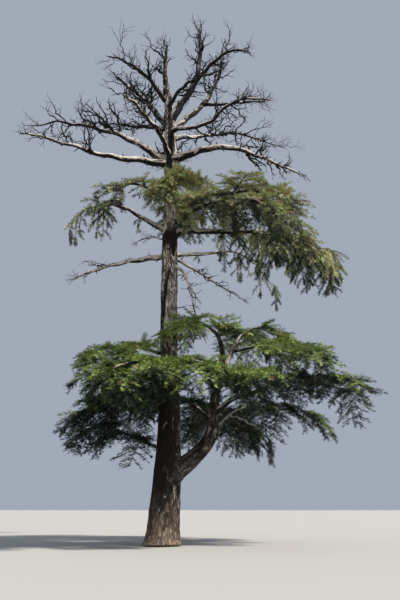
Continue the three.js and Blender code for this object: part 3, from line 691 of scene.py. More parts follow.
class Finish:
    """A material in the making."""

    def __init__(self, name, roughness):
        self.material = bpy.data.materials.new(name)
        self.material.use_nodes = True
        self.tree = self.material.node_tree
        self.surface = self.tree.nodes["Principled BSDF"]
        self.surface.inputs["Roughness"].default_value = roughness
        self.surface.inputs["Specular IOR Level"].default_value = 0.25

    def node(self, kind, settings=None, sockets=None):
        """A node of a kind, with its settings first, then the values or links of its sockets."""
        node = self.tree.nodes.new(kind)
        for name, value in (settings or {}).items():
            setattr(node, name, value)
        for name, value in (sockets or {}).items():
            if isinstance(value, Channel):
                self.tree.links.new(value.socket, node.inputs[name])
            elif isinstance(value, bpy.types.NodeSocket):
                self.tree.links.new(value, node.inputs[name])
            else:
                node.inputs[name].default_value = value
        return node

    def value(self, node, output=0):
        return Channel(self.tree, node.outputs[output])

    def place(self, kind, scale):
        """The piece's own grain coordinates or its Object coordinates, stretched by a scale."""
        if kind == "grain":
            source = self.node("ShaderNodeAttribute", {"attribute_name": "grain"}).outputs["Vector"]
        else:
            source = self.node("ShaderNodeTexCoord").outputs["Object"]
        return self.node("ShaderNodeMapping", sockets={"Vector": source, "Scale": scale}).outputs[0]

    def stored(self, name):
        """A value that the piece stores at its points under a name."""
        node = self.node("ShaderNodeAttribute", {"attribute_name": name})
        return self.value(node, "Fac")

    def height(self):
        """The height above the ground."""
        return self.value(self.node("ShaderNodeSeparateXYZ", sockets={0: self.place("object", (1, 1, 1))}), 2)

    def noise(self, place, scale, detail=4.0, roughness=0.55, distortion=0.0):
        sockets = {"Vector": place, "Scale": scale, "Detail": detail, "Roughness": roughness,
                   "Distortion": distortion}
        return self.value(self.node("ShaderNodeTexNoise", sockets=sockets))

    def cracks(self, place, scale, width):
        """0 in the cracks between long cells and 1 on them."""
        sockets = {"Vector": place, "Scale": scale}
        node = self.node("ShaderNodeTexVoronoi", {"feature": "DISTANCE_TO_EDGE"}, sockets)
        return self.value(node).step(0.0, width)

    def mix(self, mask, first, second):
        """The first colour where the mask is 0 and the second where it is 1."""
        sockets = {0: mask, 6: first, 7: second}
        return self.node("ShaderNodeMix", {"data_type": "RGBA"}, sockets).outputs[2]

    def colour(self, socket):
        self.tree.links.new(socket, self.surface.inputs["Base Color"])

    def bump(self, height, strength, distance):
        sockets = {"Height": height, "Strength": strength, "Distance": distance}
        node = self.node("ShaderNodeBump", sockets=sockets)
        self.tree.links.new(node.outputs[0], self.surface.inputs["Normal"])


def shaded(colour, shade):
    """A colour at a share of its brightness."""
    return tuple(part * shade for part in colour[:3]) + (1.0,)


def bark_finish(name, colours, patchiness, shade):
    """Old bark: black fissures between grey-brown strips, with pale patches, dark stains and a tan foot. The
    stored zones turn some patches into painted sunlight and some stains into painted shadow, and the
    fissures' black is partly painted shade.
    """
    # Below 1 the shade darkens all the colours, as painted shade over the whole piece
    dark, body, pale, tan = (shaded(colour, shade) for colour in (
        colours.bark_dark_and_shade, colours.bark_body, colours.bark_pale_and_sunlit, colours.bark_foot))
    finish = Finish(name, 0.93)
    # The stored zone value paints light: above 0.5 it spreads the pale patches as painted sunlight, and below
    # 0.5 it spreads the dark stains as painted shadow
    zone = finish.stored("zone") - 0.5
    strips = finish.noise(finish.place("grain", (1, 1, 0.3)), 6.5, 5.0, 0.66, 0.9).step(0.44, 0.54)
    fibres = finish.noise(finish.place("grain", (1, 1, 0.14)), 24.0, 5.0, 0.68).step(0.36, 0.64)
    plates = finish.cracks(finish.place("grain", (1, 1, 0.28)), 8.0, 0.2)
    patches = finish.noise(finish.place("grain", (1, 1, 0.42)), 5.0, 5.0, 0.68, 0.9) + zone * 0.5 + patchiness
    stains = finish.noise(finish.place("grain", (1, 1, 0.4)), 2.2, 6.0, 0.72, 0.9) - zone * 0.6
    patches = patches.step(0.51, 0.56)
    stains = stains.step(0.51, 0.58)
    # Partly painted shade: the gaps between strips go towards the near-black fissure colour
    base = finish.mix(strips * 0.75 + fibres * 0.3, dark, body)
    base = finish.mix(patches * (strips * 0.6 + fibres * 0.4), base, pale)
    foot = (TAN_TO - finish.height()).step(0.0, 1.7)
    base = finish.mix(foot * (fibres * 0.5 + 0.45), base, tan)
    base = finish.mix(stains * (1.0 - patches * 0.7) * (1.0 - foot * 0.5) * 0.95, base, dark)
    # Partly painted shade: the cracks between plates go towards the near-black fissure colour
    finish.colour(finish.mix(plates * 0.7 + 0.3, dark, base))
    finish.bump(plates * 0.6 + fibres * 0.7, 0.9, 0.03)
    return finish.material


def weathered_finish(name, colours, kind, paleness, shade):
    """Bare limbs: pale on top and at middle height as painted light, dark beneath and near the treetop as
    painted shade, with weathered streaks and fawn stains.
    """
    # Below 1 the shade darkens all the colours, as painted shade over the whole piece
    dark, pale, warm = (shaded(colour, shade) for colour in (
        colours.dead_dark_and_shade, colours.dead_pale_and_lit, colours.dead_warm))
    finish = Finish(name, 0.85)
    streaks = finish.noise(finish.place(kind, (1, 1, 0.16)), 14.0, 5.0, 0.68)
    stains = finish.noise(finish.place(kind, (1, 1, 0.45)), 4.0, 5.0, 0.7, 0.6)
    fawn = finish.noise(finish.place(kind, (1, 1, 0.3)), 1.3, 3.0).step(0.45, 0.62)
    height = finish.height()
    # Painted shade: limbs darken with height near the treetop
    treetop_shade = (height - SHADE_FROM).step(0.0, 1.6) * 0.24
    # Painted light: limbs are paler at middle height
    middle = (height - LIT_FROM).step(0.0, 1.5) * (LIT_TO - height).step(0.0, 2.0) * 0.15
    # The upward value paints light on the tops and shade beneath; the streaks and stains are the wood's own
    # weathering
    bleached_and_sunlit = finish.stored("upward") * 0.7 + streaks * 0.7 + stains * 1.1 + middle + paleness - treetop_shade
    flecks = finish.noise(finish.place(kind, (1, 1, 0.4)), 9.0, 4.0, 0.7, 0.5).step(0.52, 0.6)
    bleached_and_sunlit = bleached_and_sunlit.step(1.2, 1.38) * (1.0 - flecks * 0.7)
    finish.colour(finish.mix(bleached_and_sunlit, dark, finish.mix(fawn * 0.7, pale, warm)))
    finish.bump(streaks, 0.6, 0.012)
    return finish.material


def twig_finish(name, first, second):
    """Fine twigs: two near shades in patches."""
    finish = Finish(name, 0.88)
    patches = finish.noise(finish.place("object", (1, 1, 1)), 2.5, 3.0).step(0.4, 0.62)
    finish.colour(finish.mix(patches, first, second))
    return finish.material


def needle_finish(name, colour):
    """Needles of one tint, a little lighter and darker from place to place."""
    finish = Finish(name, 0.62)
    place = finish.place("object", (1, 1, 1))
    mask = (finish.noise(place, 0.9, 2.0) * 0.6 + finish.noise(place, 9.0, 2.0) * 0.5).step(0.42, 0.68)
    finish.colour(finish.mix(mask, shaded(colour, 0.65), colour))
    return finish.material


# Making pieces


def only(piece):
    """Makes a piece the only one that is selected, and the active one."""
    bpy.ops.object.select_all(action="DESELECT")
    piece.select_set(True)
    bpy.context.view_layer.objects.active = piece


def seat(piece, name, material, nodes=()):
    """Names a finished piece, gives it its material and sets it on the frame, in place of nodes if any."""
    piece.name = name
    piece.data.name = name
    piece.data.materials.clear()
    piece.data.materials.append(material)
    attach(piece, "root")
    if nodes:
        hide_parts(*nodes)


def nodes_of(*starts):
    return [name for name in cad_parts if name.startswith(starts)]


def flat(values, kind=np.float32):
    """An array as one row of numbers of a kind, which is how meshes take it."""
    return np.ascontiguousarray(values, dtype=kind).ravel()


def mesh_piece(name, vertices, faces, smooth):
    """A piece from arrays of vertices and triangles."""
    mesh = bpy.data.meshes.new(name)
    mesh.vertices.add(len(vertices))
    mesh.vertices.foreach_set("co", flat(vertices))
    mesh.loops.add(faces.size)
    mesh.loops.foreach_set("vertex_index", flat(faces, np.int32))
    mesh.polygons.add(len(faces))
    mesh.polygons.foreach_set("loop_start", np.arange(0, faces.size, 3, dtype=np.int32))
    mesh.update(calc_edges=True)
    if smooth:
        mesh.shade_smooth()
    piece = bpy.data.objects.new(name, mesh)
    bpy.context.collection.objects.link(piece)
    return piece


def joined(parts):
    """Several vertex and triangle arrays as one pair."""
    vertices, faces, start = [], [], 0
    for part_vertices, part_faces in parts:
        vertices.append(part_vertices)
        faces.append(part_faces + start)
        start += len(part_vertices)
    return np.concatenate(vertices), np.concatenate(faces)


def coordinates(mesh):
    row = np.empty(len(mesh.vertices) * 3, dtype=np.float32)
    mesh.vertices.foreach_get("co", row)
    return row.reshape(-1, 3)


def set_coordinates(mesh, points):
    mesh.vertices.foreach_set("co", flat(points))
    mesh.update()


def keep_grain(piece, points):
    """Stores the straight form of a piece, which its bark follows."""
    layer = piece.data.attributes.new("grain", "FLOAT_VECTOR", "POINT")
    layer.data.foreach_set("vector", flat(points))


def keep_values(piece, name, values):
    """Stores a value from 0 to 1 at each point of a piece."""
    layer = piece.data.attributes.new(name, "FLOAT", "POINT")
    layer.data.foreach_set("value", flat(values))


def keep_upward(piece):
    """Stores how far each point's surface looks up, from 0 to 1, which the painted light on tops and painted
    shade beneath follow.
    """
    normals = np.empty(len(piece.data.vertices) * 3, dtype=np.float32)
    piece.data.vertex_normals.foreach_get("vector", normals)
    keep_values(piece, "upward", normals[2::3] * 0.5 + 0.5)


def trunk_zones(points):
    """How pale the trunk is at each point, from 0 to 1, by its bark's patches and by painted sunlight and
    shadow: 0.5 where no zone of it is.
    """
    heading = np.degrees(np.arctan2(points[:, 1], points[:, 0]))
    zone = np.full(len(points), 0.5)
    for height, middle, tall, wide, paleness in BARK_AND_LIGHT_ZONES:
        beside = (heading - middle + 180) % 360 - 180
        zone += paleness * np.exp(-((points[:, 2] - height) / tall) ** 2 - (beside / wide) ** 2)
    return np.clip(zone, 0, 1)


def add_relief(piece, kind, size, stretch, strength, group=""):
    """Raises and sinks a piece's surface by a pattern that is stretched along its length, and applies it."""
    texture = bpy.data.textures.new("Relief", type=kind)
    texture.noise_scale = size
    if kind == "VORONOI":
        texture.weight_1 = -1.0
        texture.weight_2 = 1.0
    bpy.ops.object.empty_add(location=(0, 0, 0))
    ruler = bpy.context.object
    ruler.scale = (1, 1, stretch)
    bpy.context.view_layer.update()
    only(piece)
    relief = piece.modifiers.new("Relief", "DISPLACE")
    relief.texture = texture
    relief.texture_coords = "OBJECT"
    relief.texture_coords_object = ruler
    relief.strength = strength
    relief.mid_level = 0.5
    relief.vertex_group = group
    bpy.ops.object.modifier_apply(modifier=relief.name)
    bpy.data.objects.remove(ruler)
    bpy.data.textures.remove(texture)


def weigh(piece, name, weights):
    """A vertex group with these weights, which a relief follows."""
    group = piece.vertex_groups.new(name=name)
    for index, weight in enumerate(weights):
        group.add([index], float(weight), "REPLACE")
    return group.name


def straight_bar(sides, rings):
    """A round bar of length 1 and half breadth 1 on the Z axis, cut into even rings."""
    bpy.ops.object.select_all(action="DESELECT")
    bpy.ops.mesh.primitive_cylinder_add(vertices=sides, radius=1, depth=1, location=(0, 0, 0.5))
    bar = bpy.context.object
    bpy.ops.object.transform_apply(location=True, rotation=False, scale=False)
    bpy.ops.object.mode_set(mode="EDIT")
    bpy.ops.mesh.select_mode(type="EDGE")
    bpy.ops.mesh.select_all(action="DESELECT")
    bpy.ops.object.mode_set(mode="OBJECT")
    points = coordinates(bar.data)
    for edge in bar.data.edges:
        first, second = edge.vertices
        edge.select = bool(abs(points[first][2] - points[second][2]) > 0.5)
    bpy.ops.object.mode_set(mode="EDIT")
    bpy.ops.mesh.subdivide(number_cuts=rings - 1)
    bpy.ops.object.mode_set(mode="OBJECT")
    return bar


def bend_along(bar, line):
    """Bends a straight bar on the Z axis along a line."""
    data = bpy.data.curves.new("Line", "CURVE")
    data.dimensions = "3D"
    data.twist_mode = "MINIMUM"
    data.use_stretch = True
    data.use_deform_bounds = True
    spline = data.splines.new("POLY")
    spline.points.add(len(line) - 1)
    spline.points.foreach_set("co", flat(np.column_stack((line, np.ones(len(line))))))
    curve = bpy.data.objects.new("Line", data)
    bpy.context.collection.objects.link(curve)
    only(bar)
    bend = bar.modifiers.new("Bend", "CURVE")
    bend.object = curve
    bend.deform_axis = "POS_Z"
    bpy.ops.object.modifier_apply(modifier=bend.name)
    bpy.data.objects.remove(curve)
    bpy.data.curves.remove(data)


def limb_bar(template, line, widths, relief, turn):
    """A limb: a copy of the straight bar, given its taper and its bark's relief, then bent along its line."""
    bar = template.copy()
    bar.data = template.data.copy()
    bpy.context.collection.objects.link(bar)
    length = float(path_length(line))
    points = coordinates(bar.data)
    share = points[:, 2]
    tip = np.clip((1 - share) / TIP_ROUNDING, TIP_BLUNT, 1)
    radius = np.interp(share, np.linspace(0, 1, len(widths)), widths) * tip
    points[:, :2] *= radius[:, None]
    points[:, 2] *= length
    set_coordinates(bar.data, points)
    keep_grain(bar, points + np.array(GRAIN_START) * turn)
    group = weigh(bar, "Thick", np.clip(radius / max(widths), 0, 1))
    add_relief(bar, "CLOUDS", 0.8 * max(widths) + 0.1, 2.5, relief * max(widths) * 1.6, group)
    add_relief(bar, "VORONOI", 0.35 * max(widths) + 0.04, 5, relief * max(widths) * 0.9, group)
    bend_along(bar, line)
    bar.vertex_groups.clear()
    return bar


def one_piece(parts):
    """Joins finished parts into one piece with smooth shading."""
    bpy.ops.object.select_all(action="DESELECT")
    for part in parts:
        part.select_set(True)
    bpy.context.view_layer.objects.active = parts[0]
    bpy.ops.object.join()
    piece = bpy.context.object
    only(piece)
    bpy.ops.object.shade_smooth()
    return piece


def limbs_piece(names, relief, fuller=()):
    """The limbs of these names as one piece. Those in the last list are fuller towards their tips."""
    template = straight_bar(LIMB_SIDES, LIMB_RINGS)
    parts = []
    for name in names:
        grown = GROWN[name]
        gain = FULLER_TIP if name in fuller else 0
        widths = grown.widths * (1 + gain * np.linspace(0, 1, len(grown.widths)))
        parts.append(limb_bar(template, grown.line, widths, relief, grown.limb.seed))
    bpy.data.objects.remove(template)
    return one_piece(parts)


# Sprays of needles


def spray_shape(teeth, widest, chance):
    """A spray of needle tufts along X, on both sides of a thin rib: vertices and triangles."""
    points, faces = [(0.0, -0.025, 0.0), (0.0, 0.025, 0.0), (1.05, 0.0, 0.0)], [(0, 2, 1)]
    for side in (-1, 1):
        for k in range(teeth):
            share = (k + (0.1 if side > 0 else 0.6)) / teeth
            round_off = 0.6 + 0.4 * math.sin(math.pi * (0.15 + 0.8 * share))
            out = widest * round_off * (0.8 + 0.4 * chance.random())
            tip = (share + 0.34 + 0.12 * chance.random(), side * out, out * 1.1 * (chance.random() - 0.35))
            first = len(points)
            points += [(share - 0.05, 0.0, 0.0), (share + 0.2, side * 0.01, 0.0), tip]
            faces.append((first, first + 1, first + 2) if side > 0 else (first, first + 2, first + 1))
    return np.array(points), np.array(faces)


class Sprays(NamedTuple):
    """Sprays of needles: their roots, directions, upper sides, lengths, light, and their twig's number."""

    root: np.ndarray
    forward: np.ndarray
    upper: np.ndarray
    length: np.ndarray
    light: np.ndarray
    twig: np.ndarray


def sprays_on(twigs, spacing, size, habit, brightness, chance):
    """Sprays along leafy twigs on alternate sides: half lie in the pad, and half stand up from it."""
    owner, share, number = spread_out(twigs.lengths, spacing, chance, 0.08, 1.02)
    root, tangent, _ = twigs.at(owner, share)
    side, up = level_frame(tangent)
    hand = np.where(number % 2 == 0, 1.0, -1.0)
    raised = (number // 2) % 2 == 0
    spread = np.radians(np.where(share > 0.93, 10, 44) + chance.normal(0, 12, len(owner)))
    roll = np.radians(np.where(raised, 40, -12) + chance.normal(0, 20, len(owner)))
    forward = turned(tangent, turned(side * hand[:, None], up, roll), spread)
    if habit.weeps:
        forward = forward - WORLD_UP * 0.55
    forward = unit(forward)
    upper = up + side * chance.normal(0, 0.45, len(owner))[:, None]
    upper = unit(upper - forward * np.sum(upper * forward, axis=1)[:, None])
    length = size * (0.75 + 0.5 * chance.random(len(owner))) * np.where(share > 0.93, 1.15, 1)
    light = brightness[owner] + np.where(raised, 0.06, -0.04) + chance.normal(0, 0.05, len(owner))
    return Sprays(root, forward, upper, length, light, owner)


def height_ranks(points, size):
    """For each point, the share of the points in its square of ground that it stands above."""
    cell = np.floor(points[:, 0] / size).astype(int) * 4096 + np.floor(points[:, 1] / size).astype(int)
    order = np.lexsort((points[:, 2], cell))
    _, start, count = np.unique(cell[order], return_index=True, return_counts=True)
    ranks = np.empty(len(points))
    ranks[order] = (np.arange(len(points)) - np.repeat(start, count) + 0.5) / np.repeat(count, count)
    return ranks


def twig_means(values, twigs):
    """For each spray, the mean of the values on its twig."""
    _, place = np.unique(twigs, return_inverse=True)
    return (np.bincount(place, values) / np.bincount(place))[place]


def gathered(groups):
    return Sprays(*(np.concatenate(part) for part in zip(*groups)))


def spray_mesh(sprays, shapes, chance):
    """All the sprays as one mesh, each in one of the shapes."""
    kind = chance.integers(0, len(shapes), len(sprays.root))
    parts = []
    for number, (points, faces) in enumerate(shapes):
        chosen = kind == number
        root, forward, upper = sprays.root[chosen], sprays.forward[chosen], sprays.upper[chosen]
        side = np.cross(upper, forward)
        axes = np.stack((forward, side, upper), axis=1) * sprays.length[chosen][:, None, None]
        vertices = np.einsum("pk,nkc->npc", points, axes) + root[:, None]
        shifted = faces[None] + (np.arange(len(root)) * len(points))[:, None, None]
        parts.append((vertices.reshape(-1, 3), shifted.reshape(-1, 3)))
    return joined(parts)


# Settings


class CedarSizes(bpy.types.PropertyGroup):
    """Sizes that a user would change."""

    trunk_relief: bpy.props.FloatProperty(
        name="Trunk relief", description="Depth of the fissures in the trunk's bark",
        default=0.055, unit="LENGTH")
    limb_relief: bpy.props.FloatProperty(
        name="Limb relief", description="Relief of a limb's bark as a share of its half breadth",
        default=0.16)
    spray_length: bpy.props.FloatProperty(
        name="Spray length", description="Length of a spray of needles", default=0.165, unit="LENGTH")
    spray_spacing: bpy.props.FloatProperty(
        name="Spray spacing", description="Room between sprays along a leafy twig",
        default=0.034, unit="LENGTH")
    dead_spacing: bpy.props.FloatProperty(
        name="Dead twig spacing", description="Room between the forks of a dead twig",
        default=0.26, unit="LENGTH")
    leafy_layers: bpy.props.IntProperty(
        name="Leafy layers", description="Finer leafy twigs for each twig of the frame", default=2)
    dead_layers: bpy.props.IntProperty(
        name="Dead layers", description="Finer dead twigs for each twig of the frame", default=3)


def colour_property(name, description, default):
    return bpy.props.FloatVectorProperty(
        name=name, description=description, default=(*default, 1.0), size=4, subtype="COLOR", min=0, max=1)


class CedarColours(bpy.types.PropertyGroup):
    """Colours that a user would change."""

    # The near-black bark colour is dark bark, and also painted shade in the fissures and painted shadow in
    # the dark zones; the pale colour is also painted sunlight in the pale zones
    bark_dark_and_shade: colour_property("Bark in fissures", "Colour in the fissures and stains of the bark",
                               (0.01, 0.009, 0.007))
    bark_body: colour_property("Bark", "Colour of most of the bark", (0.19, 0.165, 0.143))
    bark_pale_and_sunlit: colour_property("Pale bark", "Colour of the pale patches of the bark", (0.95, 0.83, 0.73))
    bark_foot: colour_property("Bark at the foot", "Colour of the trodden bark near the ground",
                               (0.34, 0.245, 0.18))
    # The dark colour of dead wood is also its painted shade beneath and near the treetop, and its pale colour
    # is also its painted light on top and at middle height
    dead_dark_and_shade: colour_property("Dead wood in cracks", "Dark colour of dead wood", (0.009, 0.008, 0.009))
    dead_pale_and_lit: colour_property("Dead wood", "Pale colour of dead wood", (0.67, 0.61, 0.55))
    dead_warm: colour_property("Fawn dead wood", "Warm colour of dead wood", (0.54, 0.45, 0.365))
    twig_dark: colour_property("Leafy twigs", "Dark colour of the leafy twigs", (0.05, 0.042, 0.035))
    twig_pale: colour_property("Pale leafy twigs", "Pale colour of the leafy twigs", (0.17, 0.145, 0.12))
    needle_light: colour_property("Sunlit needles", "Colour of the needles on top of a low pad",
                                  (0.3, 0.4, 0.11))
    needle_middle: colour_property("Needles", "Colour of most of the low needles", (0.1, 0.155, 0.045))
    needle_shade: colour_property("Shaded needles", "Colour of the low needles in the shade",
                                  (0.008, 0.017, 0.009))
    upper_light: colour_property("Upper sunlit needles", "Colour of the needles on top of the middle pads",
                                 (0.42, 0.485, 0.22))
    upper_middle: colour_property("Upper needles", "Colour of most of the needles of the middle boughs",
                                  (0.27, 0.315, 0.14))
    upper_shade: colour_property("Upper shaded needles", "Colour of the middle boughs' needles in the shade",
                                 (0.016, 0.024, 0.016))
    needle_rust: colour_property("Rusty needles", "Colour of the dying needles and cones", (0.36, 0.2, 0.08))


class CedarStage(bpy.types.PropertyGroup):
    """The stage that the tree is seen on."""

    floor_colour: colour_property("Floor", "Colour of the plain floor", (0.44, 0.43, 0.415))
    sky_colour: colour_property("Surround", "Colour of the soft light all round", (0.72, 0.8, 0.95))
    sky_strength: bpy.props.FloatProperty(
        name="Surround strength", description="Strength of the soft light all round", default=0.5)
    sun_strength: bpy.props.FloatProperty(
        name="Key strength", description="Strength of the key light from the front right", default=5.6)
    eye_place: bpy.props.FloatVectorProperty(
        name="Eye", description="Where the camera stands", default=(1.69, -27.5, 1.6), subtype="TRANSLATION")
    eye_tilt: bpy.props.FloatProperty(
        name="Tilt", description="How far the camera looks up", default=math.radians(19.54), subtype="ANGLE")
    lens: bpy.props.FloatProperty(name="Lens", description="Focal length in millimetres", default=35.0)


# Operators


class CEDAR_OT_trunk(bpy.types.Operator):
    """Models the trunk: rings drawn up from a flared foot, fluted and lean, with fissured bark"""

    bl_idname = "cedar.trunk"
    bl_label = "Trunk"

    SIDES = 24
    RINGS = 96
    RINGS_TO_FOOT = 1.15
    TOP_ROUNDING = 0.25
    TOP_BLUNT = 0.12
    FOOT_LEVEL = 0.02
    BARK_FADE = 0.15

    def heights(self):
        top = TRUNK_SIZES[-1][0]
        return top * (np.arange(self.RINGS + 1) / self.RINGS) ** self.RINGS_TO_FOOT

    def draw_up(self):
        """Extrudes the foot ring by ring to the top."""
        bpy.ops.object.select_all(action="DESELECT")
        bpy.ops.mesh.primitive_circle_add(vertices=self.SIDES, radius=1, fill_type="NGON")
        trunk = bpy.context.object
        bpy.ops.object.mode_set(mode="EDIT")
        bpy.ops.mesh.select_all(action="SELECT")
        heights = self.heights()
        for low, high in zip(heights[:-1], heights[1:]):
            bpy.ops.mesh.extrude_region_move(TRANSFORM_OT_translate={"value": (0, 0, high - low)})
        bpy.ops.mesh.select_all(action="SELECT")
        bpy.ops.mesh.normals_make_consistent(inside=False)
        bpy.ops.object.mode_set(mode="OBJECT")
        return trunk

    def shape(self, trunk):
        """Gives every ring its breadth, flutes and flare, and rounds the broken top."""
        points = coordinates(trunk.data)
        angle = np.arctan2(points[:, 1], points[:, 0])
        top = TRUNK_SIZES[-1][0]
        rounding = np.sqrt(np.clip((top - points[:, 2]) / self.TOP_ROUNDING, self.TOP_BLUNT, 1))
        radius = trunk_radius(points[:, 2], angle) * rounding
        points[:, 0] = np.cos(angle) * radius
        points[:, 1] = np.sin(angle) * radius
        set_coordinates(trunk.data, points)

    def execute(self, context):
        sizes, colours = context.scene.cedar_sizes, context.scene.cedar_colours
        trunk = self.draw_up()
        self.shape(trunk)
        only(trunk)
        smooth = trunk.modifiers.new("Smooth", "SUBSURF")
        smooth.levels = smooth.render_levels = 2
        smooth.boundary_smooth = "PRESERVE_CORNERS"
        bpy.ops.object.modifier_apply(modifier=smooth.name)
        points = coordinates(trunk.data)
        points[:, 2] = np.where(points[:, 2] < self.FOOT_LEVEL, 0, points[:, 2])
        set_coordinates(trunk.data, points)
        keep_grain(trunk, points)
        keep_values(trunk, "zone", trunk_zones(points))
        bark = weigh(trunk, "Bark", np.clip(points[:, 2] / self.BARK_FADE, 0, 1))
        add_relief(trunk, "CLOUDS", 0.55, 2.2, 0.1, bark)
        add_relief(trunk, "VORONOI", 0.16, 6, sizes.trunk_relief, bark)
        add_relief(trunk, "CLOUDS", 0.07, 5, 0.03, bark)
        points = coordinates(trunk.data)
        points[:, 0] += read_off(TRUNK_LEAN, points[:, 2])
        set_coordinates(trunk.data, points)
        trunk.vertex_groups.clear()
        bpy.ops.object.shade_smooth()
        seat(trunk, "Trunk", bark_finish("TrunkBark", colours, 0.0, 1.0), ["trunk"])
        return {"FINISHED"}


class CEDAR_OT_second_stem(bpy.types.Operator):
    """Models the second stem: it leaves the trunk low on the right, turns upright and arches over"""

    bl_idname = "cedar.second_stem"
    bl_label = "Second Stem"

    SIDES = 44
    RINGS = 100
    PARTS = 4
    PLACES = 121
    GRAIN_TURN = 3.7

    def whole_line(self):
        """The lines of the arm, its upright and the limb that arches over, as one."""
        points = [GROWN[SECOND_STEM[0]].points]
        radii = [GROWN[SECOND_STEM[0]].radii]
        for name in SECOND_STEM[1:]:
            grown = GROWN[name]
            points.append(grown.points[1:])
            radii.append((grown.radii / grown.collar())[1:])
        points, radii = np.concatenate(points), np.concatenate(radii)
        line = smoothed(points, self.PARTS)
        steps = np.linalg.norm(np.diff(line, axis=0), axis=1)
        way = np.concatenate(((0,), np.cumsum(steps)))
        widths = np.interp(np.arange(len(line)) / self.PARTS, np.arange(len(points)), radii)
        even = np.linspace(0, way[-1], self.PLACES)
        line = np.column_stack([np.interp(even, way, line[:, k]) for k in range(3)])
        return line, np.interp(even, way, widths)

    def execute(self, context):
        line, widths = self.whole_line()
        template = straight_bar(self.SIDES, self.RINGS)
        relief = context.scene.cedar_sizes.limb_relief
        stem = limb_bar(template, line, widths, relief, self.GRAIN_TURN)
        bpy.data.objects.remove(template)
        only(stem)
        bpy.ops.object.shade_smooth()
        keep_values(stem, "zone", np.full(len(stem.data.vertices), 0.5))
        # The stem's colours are darkened to 0.7 as painted shade of the crown above it
        material = bark_finish("StemBark", context.scene.cedar_colours, -0.06, 0.7)
        seat(stem, "SecondStem", material, list(SECOND_STEM[:2]))
        return {"FINISHED"}


class CEDAR_OT_living_boughs(bpy.types.Operator):
    """Models the living boughs, each from the trunk or its parent to its tip"""

    bl_idname = "cedar.living_boughs"
    bl_label = "Living Boughs"

    def execute(self, context):
        names = [limb.name for limb in LIMBS if limb.habit in ("pad", "weeping")
                 and limb.name not in SECOND_STEM + PALE_BOUGHS]
        piece = limbs_piece(names, context.scene.cedar_sizes.limb_relief)
        keep_upward(piece)
        # The boughs' colours are darkened to 0.75 as painted shade of the canopy over them
        material = weathered_finish("BoughBark", context.scene.cedar_colours, "grain", 0.0, 0.75)
        nodes = [name for name in nodes_of("bough_middle", "bough_low") if name != "bough_middle_pale"]
        seat(piece, "LivingBoughs", material, nodes)
        return {"FINISHED"}


class CEDAR_OT_dead_boughs(bpy.types.Operator):
    """Models the dead boughs of the bare top and under the living ones"""

    bl_idname = "cedar.dead_boughs"
    bl_label = "Dead Boughs"

    SLENDER = ("left_long", "left_level", "right_long", "right_level", "dead_falling", "dead_hanging",
               *PALE_BOUGHS)

    def execute(self, context):
        names = [limb.name for limb in LIMBS + SNAGS if limb.habit == "bare"] + list(PALE_BOUGHS)
        fuller = [name for name in names if name not in self.SLENDER]
        piece = limbs_piece(names, context.scene.cedar_sizes.limb_relief, fuller)
        nodes = nodes_of("bough_leader", "bough_left", "bough_right", "bough_dead", "bough_middle_pale")
        keep_upward(piece)
        material = weathered_finish("DeadWood", context.scene.cedar_colours, "grain", 0.1, 1.0)
        seat(piece, "DeadBoughs", material, nodes)
        return {"FINISHED"}


class CEDAR_OT_dead_twigs(bpy.types.Operator):
    """Grows the gnarled dead twigs, in three orders, on the dead boughs"""

    bl_idname = "cedar.dead_twigs"
    bl_label = "Dead Twigs"

    SEED = 71
    FULLNESS = (1.15, 0.95, 0.6)
    SPUR_SPACING = 0.34

    def first_order(self, layers, chance):
        """The side twigs of the solids and the finer ones between them, all crooked."""
        shoots = []
        for limb in LIMBS + SNAGS:
            if limb.habit == "bare":
                shoots += mass_shoots(GROWN[limb.name], layers, self.FULLNESS, 0.75)
        twigs = twigs_from(shoots, 2, TWIG_THICKNESS * 2.1)
        drift = np.cumsum(chance.normal(0, 0.05, twigs.lines.shape), axis=1)
        drift -= drift[:, :1]
        return Twigs(twigs.lines + drift * twigs.lengths[:, None, None], twigs.widths)

    def spurs(self, spacing, chance):
        """Short broken stubs all round the dead boughs."""
        shoots = []
        for limb in LIMBS + SNAGS:
            if limb.habit != "bare":
                continue
            for _ in range(int(limb.length / spacing)):
                point, tangent, radius = GROWN[limb.name].place_at(PATH_STEPS * chance.uniform(0.06, 0.92))
                direction = branch_off(tangent, chance.uniform(40, 85), chance.uniform(0, 360))
                length = radius + chance.uniform(0.08, 0.34)
                shoots.append(Shoot(bent_path(point, direction, length, 5, -6), length, radius))
        return twigs_from(shoots, 1, 0.11)

    def order(self, parents, spacing, root, shares, steps, wander, thickness, chance):
        """Twigs that leave their parents from a share on, at wide angles, and turn up at their tips."""
        owner, share, number = spread_out(parents.lengths, spacing, chance, root, 1.0)
        spread = np.radians(chance.uniform(28, 68, len(owner)))
        roll = number * 2.4 + chance.uniform(0, 1.6, len(owner))
        low, high = shares
        lengths = parents.lengths[owner] * chance.uniform(low, high, len(owner)) * (1.15 - 0.6 * share)
        return branched(parents, owner, share, spread, roll, lengths, steps, -0.3, wander, chance, thickness)

    def execute(self, context):
        sizes, colours = context.scene.cedar_sizes, context.scene.cedar_colours
        chance = np.random.default_rng(self.SEED)
        first = self.first_order(sizes.dead_layers, chance)
        first = first.kept(inside_crown(first, 0.2))
        spurs = self.spurs(self.SPUR_SPACING, chance)
        second = self.order(first, sizes.dead_spacing, 0.2, (0.3, 0.6), 6, 0.28, 0.06, chance)
        second = second.kept(inside_crown(second))
        third = self.order(second, sizes.dead_spacing * 1.6, 0.4, (0.25, 0.5), 3, 0.3, 0.07, chance)
        third = third.kept(inside_crown(third) & (third.lengths > 0.08))
        material = weathered_finish("DeadTwigs", colours, "object", -0.22, 0.85)
        coarse = mesh_piece("DeadTwigs", *joined([bars(first, 5), bars(spurs, 4), bars(second, 3)]), True)
        keep_upward(coarse)
        seat(coarse, "DeadTwigs", material, nodes_of("twigs_"))
        fine = mesh_piece("FineDeadTwigs", *bars(third, 3), True)
        keep_upward(fine)
        seat(fine, "FineDeadTwigs", material)
        return {"FINISHED"}


